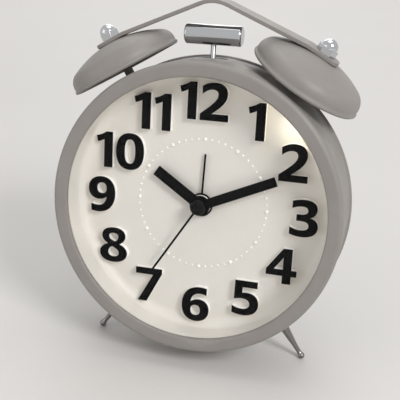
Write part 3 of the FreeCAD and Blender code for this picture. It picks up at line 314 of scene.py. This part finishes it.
def begin(name, metallic=0.0, coat=0.0, specular=0.5):
    """A new material with its shader; constants are set on the shader's own sockets."""
    material = bpy.data.materials.new(name)
    material.use_nodes = True
    shader = material.node_tree.nodes["Principled BSDF"]
    shader.inputs["Metallic"].default_value = metallic
    shader.inputs["Coat Weight"].default_value = coat
    shader.inputs["Coat Roughness"].default_value = COAT_ROUGHNESS
    shader.inputs["Specular IOR Level"].default_value = specular
    return material, Wiring(material.node_tree), shader.inputs


def relief(w, shader, height, depth):
    """Bumps from a height, as deep as the given microns."""
    bump = w.add("ShaderNodeBump", {"Height": height, "Strength": 1.0, "Distance": depth * MICRON})
    w.feed(bump.outputs[0], shader["Normal"])


def moulded(name, colour, rough, depth=30, drift=0.05, dust=0.0, coarse=900.0, fine=4500.0,
            balance=0.6, wear=0.0, worn=None, **constants):
    """Paint or moulded plastic: drifting colour, patches in a range of roughness and relief in
    microns, with dust and worn edges at choice."""
    material, w, shader = begin(name, **constants)
    tone = w.use(DRIFT, Colour=colour, Scale=70.0, Amount=drift)["Colour"]
    sheen = w.use(SHEEN, Low=rough[0], High=rough[1], Scale=120.0)["Roughness"]
    if wear:
        tone = w.blend(w.use(WEAR, Width=WEAR_WIDTH * MM, Amount=wear)["Mask"], tone, worn)
    if dust:
        settled = w.use(DUST, Colour=tone, Roughness=sheen, Amount=dust)
        tone, sheen = settled["Colour"], settled["Roughness"]
    w.feed(tone, shader["Base Color"])
    w.feed(sheen, shader["Roughness"])
    relief(w, shader, w.use(GRAIN, Coarse=coarse, Fine=fine, Balance=balance)["Height"], depth)
    return material


def metal(name, colour, rough, depth=4, scale=60.0, stretch=(1.0, 1.0, 40.0), **constants):
    """Bare metal with fine drawn lines, patches in a range of roughness and relief in microns."""
    material, w, shader = begin(name, metallic=1.0, **constants)
    lines = w.use(LINES, Scale=scale, Stretch=stretch)
    tone = w.use(DRIFT, Colour=colour, Scale=110.0, Amount=0.06)["Colour"]
    toned = w.add("ShaderNodeHueSaturation", {"Color": tone, "Value": lines["Tone"]}).outputs[0]
    w.feed(toned, shader["Base Color"])
    w.feed(w.use(SHEEN, Low=rough[0], High=rough[1], Scale=160.0)["Roughness"], shader["Roughness"])
    relief(w, shader, lines["Height"], depth)
    return material


def plating(name, colour):
    """Polished plating."""
    return moulded(name, colour, (0.05, 0.11), depth=0.6, drift=0.012, metallic=1.0)


def case_paint():
    """Warm grey stoving paint with slight orange peel, a little thin on the edges."""
    return moulded("case_paint", srgb(143, 138, 134), (0.42, 0.56), depth=40, drift=0.05, dust=0.10,
                   coarse=750.0, fine=3800.0, balance=0.45, wear=0.35, worn=srgb(172, 168, 163))


def dial_white():
    """Satin warm white plastic."""
    return moulded("dial_white", srgb(231, 227, 220), (0.42, 0.52), depth=12, drift=0.012,
                   coarse=500.0, fine=5200.0, specular=0.35)


def raised_painted_lit_white():
    """White of the figures' sides, the studs round the dial and the hub's collar: the dial's own white
    painted brighter, as a painted highlight for the light that the raised parts catch.
    """
    return moulded("raised_painted_lit_white", srgb(253, 252, 249), (0.34, 0.42), depth=4, drift=0.01, specular=0.4)


def figure_black():
    """Matt black foil stamped on the raised figures."""
    return moulded("figure_black", srgb(9, 9, 10), (0.54, 0.66), depth=30, drift=0.25,
                   coarse=1500.0, fine=5000.0, specular=0.06)


def hand_black():
    """Satin black lacquer on the pressed hands."""
    return moulded("hand_black", srgb(9, 9, 10), (0.44, 0.56), depth=10, drift=0.2,
                   coarse=1200.0, fine=6000.0, specular=0.07)


def cap_black():
    """High-gloss black of the domed cap."""
    return moulded("cap_black", srgb(6, 6, 7), (0.12, 0.2), depth=1, drift=0.1, specular=0.16)


def cover_black():
    """Black plastic with a spark-eroded texture."""
    return moulded("cover_black", srgb(38, 38, 40), (0.5, 0.64), depth=90, drift=0.12, dust=0.12,
                   coarse=2200.0, fine=5200.0, balance=0.55, wear=0.25, worn=srgb(70, 70, 72))


def clear_lens():
    """Clear glass, bloomed so that it hardly reflects; light passes it to the dial."""
    material, w, shader = begin("clear_lens")
    shader["Transmission Weight"].default_value = 1.0
    shader["IOR"].default_value = LENS_IOR
    shader["Base Color"].default_value = (1, 1, 1, 1)
    smears = w.noise(40.0, detail=4.0, roughness=0.6, stretch=(1.0, 1.0, 2.5))
    w.feed(w.spread(smears, (0.45, 0.7), (0.0, 0.02)), shader["Roughness"])
    path = w.add("ShaderNodeLightPath").outputs
    passing = w.math("MAXIMUM", path["Is Shadow Ray"], path["Is Diffuse Ray"])
    w.feed(w.spread(passing, (0.0, 1.0), (1.0, LENS_SHADE)), shader["Alpha"])
    return material


def lamp_clear():
    """Frosted resin lens of the lamp, lit."""
    material, w, shader = begin("lamp_clear", coat=0.6)
    tone = w.use(DRIFT, Colour=srgb(255, 248, 230), Scale=900.0, Amount=0.04)["Colour"]
    w.feed(tone, shader["Base Color"])
    w.feed(w.use(SHEEN, Low=0.2, High=0.4, Scale=1500.0)["Roughness"], shader["Roughness"])
    w.feed(tone, shader["Emission Color"])
    shader["Emission Strength"].default_value = LAMP_GLOW
    return material


def board_green():
    """Lacquered board: woven glass under green lacquer, with copper tracks showing through."""
    material, w, shader = begin("board_green", coat=0.5)
    sockets = {"Vector": w.place(), "Scale": 420.0}
    cells = w.add("ShaderNodeTexVoronoi", sockets, feature="DISTANCE_TO_EDGE").outputs["Distance"]
    track = w.spread(cells, (0.05, 0.09), (1.0, 0.0))
    weave = w.noise(1800.0, detail=1.0, stretch=(1.0, 1.0, 3.0))
    base = w.blend(w.spread(weave, (0.4, 0.6)), srgb(16, 92, 52), srgb(22, 108, 60))
    w.feed(w.blend(track, base, srgb(62, 140, 78)), shader["Base Color"])
    w.feed(w.use(SHEEN, Low=0.25, High=0.4, Scale=300.0)["Roughness"], shader["Roughness"])
    relief(w, shader, track, 20)
    return material


def cell_wrap():
    """Cell's shrink wrap: copper-coloured at the button's end, black over the rest, steel ends."""
    material, w, shader = begin("cell_wrap", coat=0.3)
    along = w.add("ShaderNodeSeparateXYZ", {0: w.place()}).outputs["X"]
    band = w.spread(along, [x * MM for x in CELL_BAND_X])
    end = w.spread(w.math("ABSOLUTE", along), [x * MM for x in CELL_END_X])
    tone = w.blend(band, srgb(26, 25, 25), srgb(196, 120, 62))
    tone = w.use(DRIFT, Colour=w.blend(end, tone, srgb(176, 176, 178)), Scale=200.0, Amount=0.06)["Colour"]
    w.feed(tone, shader["Base Color"])
    w.feed(end, shader["Metallic"])
    w.feed(w.use(SHEEN, Low=0.22, High=0.36, Scale=200.0)["Roughness"], shader["Roughness"])
    relief(w, shader, w.use(GRAIN, Coarse=300.0, Fine=2500.0, Balance=0.2)["Height"], 30)
    return material


# Finish of each material slot
FINISHES = {
    "case_paint": case_paint(), "clear_lens": clear_lens(), "dial_white": dial_white(),
    "figure_black": figure_black(), "hand_black": hand_black(),
    "chrome": plating("chrome", srgb(196, 198, 201)),
    "cover_black": cover_black(),
    "movement_grey": moulded("movement_grey", srgb(214, 215, 212), (0.36, 0.5), drift=0.03),
    "gear_white": moulded("gear_white", srgb(226, 222, 206), (0.26, 0.38), depth=10, drift=0.03,
                          specular=0.6),
    "brass": metal("brass", srgb(206, 170, 98), (0.22, 0.36), stretch=(1.0, 40.0, 1.0)),
    "steel": metal("steel", srgb(186, 187, 190), (0.26, 0.42), scale=90.0, stretch=(1.0, 12.0, 3.0)),
    "iron": metal("iron", srgb(132, 132, 136), (0.4, 0.55), scale=200.0, stretch=(1.0, 6.0, 1.0)),
    "copper": metal("copper", srgb(196, 104, 58), (0.2, 0.34), scale=400.0, stretch=(8.0, 1.0, 1.0),
                    coat=0.5),
    "board_green": board_green(),
    "component_black": moulded("component_black", srgb(30, 30, 32), (0.32, 0.5), drift=0.15),
    "cell_wrap": cell_wrap(), "lamp_clear": lamp_clear(),
    "wire_black": moulded("wire_black", srgb(34, 33, 33), (0.4, 0.52), drift=0.1),
    "pad_rubber": moulded("pad_rubber", srgb(32, 31, 31), (0.7, 0.85), depth=80, drift=0.15,
                          coarse=1800.0),
}
# the raised parts take a lighter copy of the dial's white: a painted highlight
PAINTED_LIT_WHITE = raised_painted_lit_white()
DARK_NICKEL = plating("dark_nickel", srgb(134, 132, 130))
# Finish of single nodes, in place of their slot's
OWN_FINISH = {"hand_cap": cap_black(), "minute_dots": PAINTED_LIT_WHITE, "numeral_bodies": PAINTED_LIT_WHITE,
              "left_leg": DARK_NICKEL, "right_leg": DARK_NICKEL}


def finish_of(node):
    """The finish that a node shows."""
    return OWN_FINISH.get(node) or FINISHES[SLOT_OF[node]]


for node, piece in NODES.items():
    piece.data.materials.clear()
    piece.data.materials.append(finish_of(node))


# ---- handing pieces over to the clock's bodies ----

def show(piece):
    """Puts a new object into the scene."""
    bpy.context.scene.collection.objects.link(piece)
    bpy.context.view_layer.update()
    return piece


def plain_mesh(piece):
    """The piece with its modifiers taken into its mesh."""
    graph = bpy.context.evaluated_depsgraph_get()
    mesh = bpy.data.meshes.new_from_object(piece.evaluated_get(graph))
    piece.modifiers.clear()
    piece.data = mesh
    return piece


def mesh_of(form, name, material):
    """The finished bmesh as a mesh with one material."""
    mesh = bpy.data.meshes.new(name)
    form.to_mesh(mesh)
    form.free()
    mesh.materials.append(material)
    return mesh


def smooth(mesh, turn):
    """Smooth faces, with corners above the turn in degrees kept sharp."""
    mesh.shade_smooth()
    mesh.set_sharp_from_angle(angle=math.radians(turn))


def attach(piece, node):
    """Lets a small piece move with the body of the node that carries it."""
    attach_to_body(piece, NODES[node]["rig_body"])
    return piece


def stand_for(piece, node):
    """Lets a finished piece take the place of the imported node."""
    attach(piece, node)
    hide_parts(node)
    return piece


# ---- pieces with softened edges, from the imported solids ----

# node: radius of its edges in millimetres, and the turn in degrees above which a corner is an edge
SOFTENED = {
    "front_bezel": (0.25, 40), "lens": (0.2, 40), "case_drum": (0.15, 50), "back_cover": (0.18, 40),
    "battery_door": (0.3, 40), "case_screws": (0.1, 50), "numeral_bodies": (0.12, 40),
    "numeral_faces": (0.13, 40), "alarm_hand": (0.08, 40), "hour_hand": (0.12, 40),
    "minute_hand": (0.12, 40), "second_hand": (0.1, 40), "hand_cap": (0.0, 50),
    "time_knob": (0.15, 40), "alarm_knob": (0.15, 40), "light_button": (0.12, 50),
    "alarm_switch_knob": (0.12, 40), "left_bell": (0.0, 40), "right_bell": (0.0, 40),
    "bell_posts": (0.15, 50), "bell_nuts": (0.25, 35), "handle": (0.4, 35), "hammer_head": (0.0, 50),
    "hammer_arm": (0.15, 50), "left_leg": (0.1, 40), "right_leg": (0.1, 40), "rear_foot": (0.5, 40),
    "dial": (0.15, 50),
}


def soften(node, radius, turn):
    """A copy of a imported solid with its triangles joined, its edges rounded and its faces smooth."""
    form = bmesh.new()
    form.from_mesh(NODES[node].data)
    bmesh.ops.remove_doubles(form, verts=form.verts, dist=WELD * MM)
    flat = math.radians(FLAT_TURN)
    bmesh.ops.dissolve_limit(form, angle_limit=flat, verts=form.verts, edges=form.edges)
    mesh = mesh_of(form, node + "_finished", finish_of(node))
    smooth(mesh, turn)
    piece = show(bpy.data.objects.new(node + "_finished", mesh))
    if radius:
        edge = piece.modifiers.new("edge", "BEVEL")
        edge.width = radius * MM
        edge.segments = 2
        edge.limit_method = "ANGLE"
        edge.angle_limit = math.radians(turn)
        edge.harden_normals = True
        plain_mesh(piece)
    return stand_for(piece, node)


for node, (radius, turn) in SOFTENED.items():
    soften(node, radius, turn)


# ---- pieces that follow a rule, by geometry nodes ----

class Recipe:
    """A geometry node tree with named inputs."""

    def __init__(self, name):
        self.tree = bpy.data.node_groups.new(name, "GeometryNodeTree")
        self.tree.interface.new_socket("Geometry", in_out="OUTPUT", socket_type="NodeSocketGeometry")
        self.wiring = Wiring(self.tree)
        self.add = self.wiring.add
        self.math = self.wiring.math
        self.given = self.add("NodeGroupInput")
        self.result = self.add("NodeGroupOutput")
        self.ids = {}

    def input(self, label, kind="Float"):
        """A new named input, as the socket that gives its value."""
        socket = self.tree.interface.new_socket(label, in_out="INPUT", socket_type="NodeSocket" + kind)
        self.ids[label] = socket.identifier
        return next(s for s in self.given.outputs if s.identifier == socket.identifier)

    def vector(self, x=0.0, y=0.0, z=0.0):
        """Three numbers as a vector."""
        return self.add("ShaderNodeCombineXYZ", {0: x, 1: y, 2: z}).outputs[0]

    def finish(self, geometry, material):
        """Ends the tree: instances become plain faces in one material."""
        real = self.add("GeometryNodeRealizeInstances", {0: geometry}).outputs[0]
        coloured = self.add("GeometryNodeSetMaterial", {"Geometry": real, "Material": material}).outputs[0]
        self.wiring.feed(coloured, self.result.inputs[0])
        return self

    def make(self, name, place, **values):
        """A plain mesh piece from the recipe, moved by a matrix from the clock's millimetres."""
        piece = show(bpy.data.objects.new(name, bpy.data.meshes.new(name)))
        modifier = piece.modifiers.new("recipe", "NODES")
        modifier.node_group = self.tree
        for label, value in values.items():
            modifier[self.ids[label.replace("_", " ")]] = value
        plain_mesh(piece)
        piece.data.transform(place)
        smooth(piece.data, MADE_TURN)
        return piece


def dot_ring():
    """Sixty small domes round the dial, a larger one at each hour."""
    r = Recipe("dot_ring")
    ring, small, large = r.input("Ring Radius"), r.input("Dot Radius"), r.input("Hour Dot Radius")
    rise, material = r.input("Rise"), r.input("Material", "Material")
    points = r.add("GeometryNodeMeshCircle", {"Vertices": 60, "Radius": ring}).outputs[0]
    place_in_five = r.math("MODULO", r.add("GeometryNodeInputIndex").outputs[0], 5.0)
    at_hour = r.math("LESS_THAN", place_in_five, 0.5)
    size = r.math("ADD", small, r.math("MULTIPLY", at_hour, r.math("SUBTRACT", large, small)))
    ball = r.add("GeometryNodeMeshUVSphere", {"Segments": 20, "Rings": 12, "Radius": 1.0}).outputs[0]
    scale = r.vector(size, size, r.math("MULTIPLY", size, rise))
    dots = r.add("GeometryNodeInstanceOnPoints", {"Points": points, "Instance": ball, "Scale": scale})
    return r.finish(dots.outputs[0], material)


def winding():
    """Wire wound side by side about Z, upwards from z = 0."""
    r = Recipe("winding")
    turns, radius, length, wire = r.input("Turns"), r.input("Radius"), r.input("Length"), r.input("Wire")
    material = r.input("Material", "Material")
    sockets = {"Resolution": 16, "Rotations": turns, "Start Radius": radius, "End Radius": radius,
               "Height": length}
    coil = r.add("GeometryNodeCurveSpiral", sockets).outputs[0]
    section = r.add("GeometryNodeCurvePrimitiveCircle", {"Resolution": 6, "Radius": wire}).outputs[0]
    sockets = {"Curve": coil, "Profile Curve": section, "Fill Caps": True}
    return r.finish(r.add("GeometryNodeCurveToMesh", sockets).outputs[0], material)


def grip_ribs():
    """A row of ribs with round ends, each along X, one above the other."""
    r = Recipe("grip_ribs")
    count, spacing = r.input("Count", "Int"), r.input("Spacing")
    half, radius = r.input("Half Length"), r.input("Radius")
    material = r.input("Material", "Material")
    ball = r.add("GeometryNodeMeshUVSphere", {"Segments": 12, "Rings": 9, "Radius": radius}).outputs[0]
    place = r.add("GeometryNodeInputPosition").outputs[0]
    height = r.add("ShaderNodeSeparateXYZ", {0: place}).outputs["Z"]
    shift = r.vector(z=r.math("MULTIPLY", r.math("SIGN", height), half))
    rod = r.add("GeometryNodeSetPosition", {"Geometry": ball, "Offset": shift}).outputs[0]
    row = r.add("GeometryNodeMeshLine", {"Count": count, "Offset": r.vector(y=spacing)}).outputs[0]
    along_x = (0.0, math.radians(90), 0.0)
    ribs = r.add("GeometryNodeInstanceOnPoints", {"Points": row, "Instance": rod, "Rotation": along_x})
    return r.finish(ribs.outputs[0], material)


stand_for(dot_ring().make(
    "minute_dot_domes", FACE_ON @ Matrix.Translation((0, 0, -FLOOR_Y)), Ring_Radius=DOT_RING_R,
    Dot_Radius=DOT_R, Hour_Dot_Radius=HOUR_DOT_R, Rise=DOT_RISE,
    Material=PAINTED_LIT_WHITE), "minute_dots")

wound = winding()
for name, (carrier, first_turn, turns, radius, length) in WINDINGS.items():
    along_x = CLOCK @ Matrix.Translation(first_turn) @ Matrix.Rotation(math.radians(90), 4, "Y")
    coil = wound.make(name, along_x, Turns=turns, Radius=radius, Length=length, Wire=WIRE_R,
                      Material=FINISHES["copper"])
    attach(coil, carrier)

attach(grip_ribs().make(
    "battery_door_ribs", FROM_BEHIND @ Matrix.Translation((0, CELL_Z + RIBS_OVER_CELL, DOOR_Y)),
    Count=RIB_COUNT, Spacing=RIB_SPACING, Half_Length=RIB_HALF, Radius=RIB_R,
    Material=FINISHES["cover_black"]), "battery_door")


# ---- white collar on the alarm hand's hub, seen past the hubs in front of it ----

def turned(name, profile, steps=96):
    """A closed ring turned about the hands' axis from (radius, y) corners."""
    form = bmesh.new()
    rings = []
    for i in range(steps):
        a = math.tau * i / steps
        rings.append([form.verts.new((r * math.sin(a), y, r * math.cos(a))) for r, y in profile])
    for i, here in enumerate(rings):
        there = rings[(i + 1) % steps]
        for k in range(len(profile)):
            after = (k + 1) % len(profile)
            form.faces.new((here[k], here[after], there[after], there[k]))
    bmesh.ops.recalc_face_normals(form, faces=form.faces)
    bmesh.ops.transform(form, matrix=CLOCK, verts=form.verts)
    # the collar takes the dial's white painted brighter: a painted highlight
    mesh = mesh_of(form, name, PAINTED_LIT_WHITE)
    smooth(mesh, COLLAR_TURN)
    return show(bpy.data.objects.new(name, mesh))


COLLAR_FRONT = HUB_Y - COLLAR_RISE
attach(turned("alarm_hand_collar", [
    (COLLAR_BORE, HUB_Y), (COLLAR_R, HUB_Y), (COLLAR_R, COLLAR_FRONT + COLLAR_EDGE),
    (COLLAR_R - COLLAR_EDGE, COLLAR_FRONT), (COLLAR_BORE, COLLAR_FRONT)]),
    "alarm_hand")


# ---- printed marks on the back: points in millimetres to the right and up, seen from behind ----

def arc(centre, r, start, end, steps=24):
    """Points of an arc between two angles, clockwise from the top."""
    points = []
    for i in range(steps + 1):
        a = math.radians(start + (end - start) * i / steps)
        points.append(Vector((centre[0] + r * math.sin(a), centre[1] + r * math.cos(a))))
    return points


def line(*corners):
    """Points of a line with straight runs."""
    return [Vector(corner) for corner in corners]


def strip(form, points, level):
    """Adds a thin strip of ink along the points; its ends are joined where they meet."""
    closed = (points[0] - points[-1]).length < MARK_MEET
    if closed:
        points = points[:-1]
    count = len(points)
    rings = []
    for i, point in enumerate(points):
        before = points[i - 1] if closed or i else point
        after = points[(i + 1) % count] if closed or i < count - 1 else point
        inward, outward = (point - before).normalized(), (after - point).normalized()
        along = (inward + outward).normalized()
        side = Vector((-along.y, along.x)) * MARK_WIDTH / 2 / max(MARK_MITRE, along.dot(outward or inward))
        low, high = level - MARK_SINK, level + MARK_RISE
        ring = [(point + side, low), (point - side, low), (point - side, high), (point + side, high)]
        rings.append([form.verts.new((p.x, p.y, z)) for p, z in ring])
    for i in range(count if closed else count - 1):
        here, there = rings[i], rings[(i + 1) % count]
        for k in range(4):
            form.faces.new((here[k], here[(k + 1) % 4], there[(k + 1) % 4], there[k]))
    if not closed:
        form.faces.new(rings[0])
        form.faces.new(rings[-1])


def turn_arrow(knob):
    """An arc over a knob with a head at its right end."""
    curve = arc(knob, ARROW_R, -ARROW_END, ARROW_END)
    tip = curve[-1]
    back = (curve[-3] - tip).normalized() * ARROW_HEAD
    head = [tip + Matrix.Rotation(math.radians(a), 2) @ back for a in (-ARROW_HEAD_TURN, ARROW_HEAD_TURN)]
    return [curve, [head[0], tip, head[1]]]


def clock_mark(u, v):
    """A dial with two hands."""
    return [arc((u, v), 2.2, 0, 360), line((u, v + 1.4), (u, v), (u + 1.1, v - 0.3))]


def bell_mark(u, v):
    """A bell with its clapper."""
    outline = line((u - 2.1, v - 1.4)) + arc((u, v + 0.4), 1.4, -90, 90, 14) + line((u + 2.1, v - 1.4))
    return [outline + outline[:1], arc((u, v - 1.7), 0.55, 110, 250, 8)]


def silent_mark(u, v):
    """A bell that is crossed out."""
    return bell_mark(u, v) + [line((u - 2.3, v + 2.2), (u + 2.3, v - 2.2))]


def light_mark(u, v):
    """A bulb with rays."""
    rays = []
    for angle in range(-90, 91, 45):
        rays.append([arc((u, v), r, angle, angle, 1)[0] for r in (2.0, 2.9)])
    return rays + [arc((u, v), 1.3, -150, 150), line((u - 0.6, v - 1.9), (u + 0.6, v - 1.9))]


def cell_mark(u, v):
    """A round cell from the side, with plus and minus."""
    body = line((u - 8, v - 2.4), (u + 8, v - 2.4), (u + 8, v + 2.4), (u - 8, v + 2.4), (u - 8, v - 2.4))
    button = line((u - 8, v + 1.0), (u - 9.2, v + 1.0), (u - 9.2, v - 1.0), (u - 8, v - 1.0))
    plus = [line((u - 6.6, v), (u - 4.2, v)), line((u - 5.4, v - 1.2), (u - 5.4, v + 1.2))]
    return [body, button, *plus, line((u + 4.2, v), (u + 6.6, v))]


def marks(name, carrier, level, strips):
    """Strips of white ink on one piece of the back, at the level of its face."""
    form = bmesh.new()
    for points in strips:
        strip(form, points, level)
    bmesh.ops.recalc_face_normals(form, faces=form.faces)
    bmesh.ops.transform(form, matrix=FROM_BEHIND, verts=form.verts)
    mesh = mesh_of(form, name, FINISHES["dial_white"])
    attach(show(bpy.data.objects.new(name, mesh)), carrier)


marks("cover_marks", "back_cover", COVER_Y, [
    *turn_arrow(TIME_KNOB), *turn_arrow(ALARM_KNOB),
    *clock_mark(TIME_KNOB[0], TIME_KNOB[1] + KNOB_TO_MARK),
    *bell_mark(ALARM_KNOB[0], ALARM_KNOB[1] + KNOB_TO_MARK),
    *light_mark(LIGHT_BUTTON[0], LIGHT_BUTTON[1] - BUTTON_TO_MARK),
    *bell_mark(ALARM_SWITCH[0], ALARM_SWITCH[1] + SWITCH_TO_MARK),
    *silent_mark(ALARM_SWITCH[0], ALARM_SWITCH[1] - SWITCH_TO_MARK)])
marks("door_marks", "battery_door", DOOR_Y, cell_mark(0, CELL_Z - CELL_TO_MARK))


# ---- studio ----

def seen_directly(w):
    """1 for what the camera, metal and glass see, 0 for the light that falls on the clock."""
    path = w.add("ShaderNodeLightPath").outputs
    through = w.math("MAXIMUM", path["Is Camera Ray"], path["Is Transmission Ray"])
    return w.math("MAXIMUM", through, path["Is Glossy Ray"])


def floor():
    """Large pale floor with a soft fleck; far from the lamps it is seen as pale as near them."""
    form = bmesh.new()
    bmesh.ops.create_circle(form, cap_ends=True, segments=96, radius=FLOOR_RADIUS)
    material, w, shader = begin("studio_floor", specular=0.2)
    tone = w.use(DRIFT, Colour=srgb(*FLOOR_COLOUR), Scale=6.0, Amount=0.01)["Colour"]
    away = w.add("ShaderNodeVectorMath", {0: w.place()}, operation="LENGTH").outputs["Value"]
    far = w.math("MULTIPLY", w.spread(away, FADE), seen_directly(w))
    w.feed(w.blend(far, tone, (0, 0, 0, 1)), shader["Base Color"])
    w.feed(tone, shader["Emission Color"])
    w.feed(far, shader["Emission Strength"])
    shader["Roughness"].default_value = 0.8
    mesh = mesh_of(form, "studio_floor", material)
    show(bpy.data.objects.new("studio_floor", mesh))


def softbox(name, place, size, watts):
    """A square lamp that faces the clock."""
    lamp = bpy.data.lights.new(name, "AREA")
    lamp.shape = "SQUARE"
    lamp.size = size
    lamp.energy = watts
    holder = bpy.data.objects.new(name, lamp)
    holder.location = place
    aim = Vector(LAMP_AIM) - Vector(place)
    holder.rotation_euler = aim.to_track_quat("-Z", "Y").to_euler()
    bpy.context.scene.collection.objects.link(holder)


def room_light():
    """Even light from all sides; the camera, metal and glass see a paler wall."""
    world = bpy.data.worlds.new("studio")
    world.use_nodes = True
    bpy.context.scene.world = world
    w = Wiring(world.node_tree)
    lit = world.node_tree.nodes["Background"]
    lit.inputs["Color"].default_value = ROOM_COLOUR
    w.feed(w.spread(seen_directly(w), (0.0, 1.0), (ROOM_LIT, ROOM_SEEN)), lit.inputs["Strength"])


def camera():
    """The camera stands to the right of the dial's axis and above it, rolled a little."""
    azimuth, rise, roll = (math.radians(a) for a in (CAMERA_AZIMUTH, CAMERA_RISE, CAMERA_ROLL))
    away = (RIGHT * math.sin(azimuth) - BACK * math.cos(azimuth)) * math.cos(rise) + UP * math.sin(rise)
    target = ORIGIN + BACK * FLOOR_Y * MM
    level = (-away).cross(UP).normalized()
    over = level.cross(-away)
    side = level * math.cos(roll) + over * math.sin(roll)
    top = over * math.cos(roll) - level * math.sin(roll)
    data = bpy.data.cameras.new("camera")
    data.sensor_width = SENSOR_WIDTH
    data.lens = SENSOR_WIDTH * FOCAL_PIXELS / FRAME_PIXELS
    data.shift_x = -CENTRE_RIGHT / FRAME_PIXELS
    data.shift_y = CENTRE_DOWN / FRAME_PIXELS
    data.clip_start = CAMERA_NEAR
    eye = bpy.data.objects.new("camera", data)
    turn = Matrix((side, top, away)).transposed().to_4x4()
    eye.matrix_world = Matrix.Translation(target + away * CAMERA_DISTANCE) @ turn
    bpy.context.scene.collection.objects.link(eye)
    bpy.context.scene.camera = eye


floor()
for name, (place, width, power) in LAMPS.items():
    softbox(name, place, width, power)
room_light()
camera()
bpy.context.scene.view_settings.view_transform = "Standard"
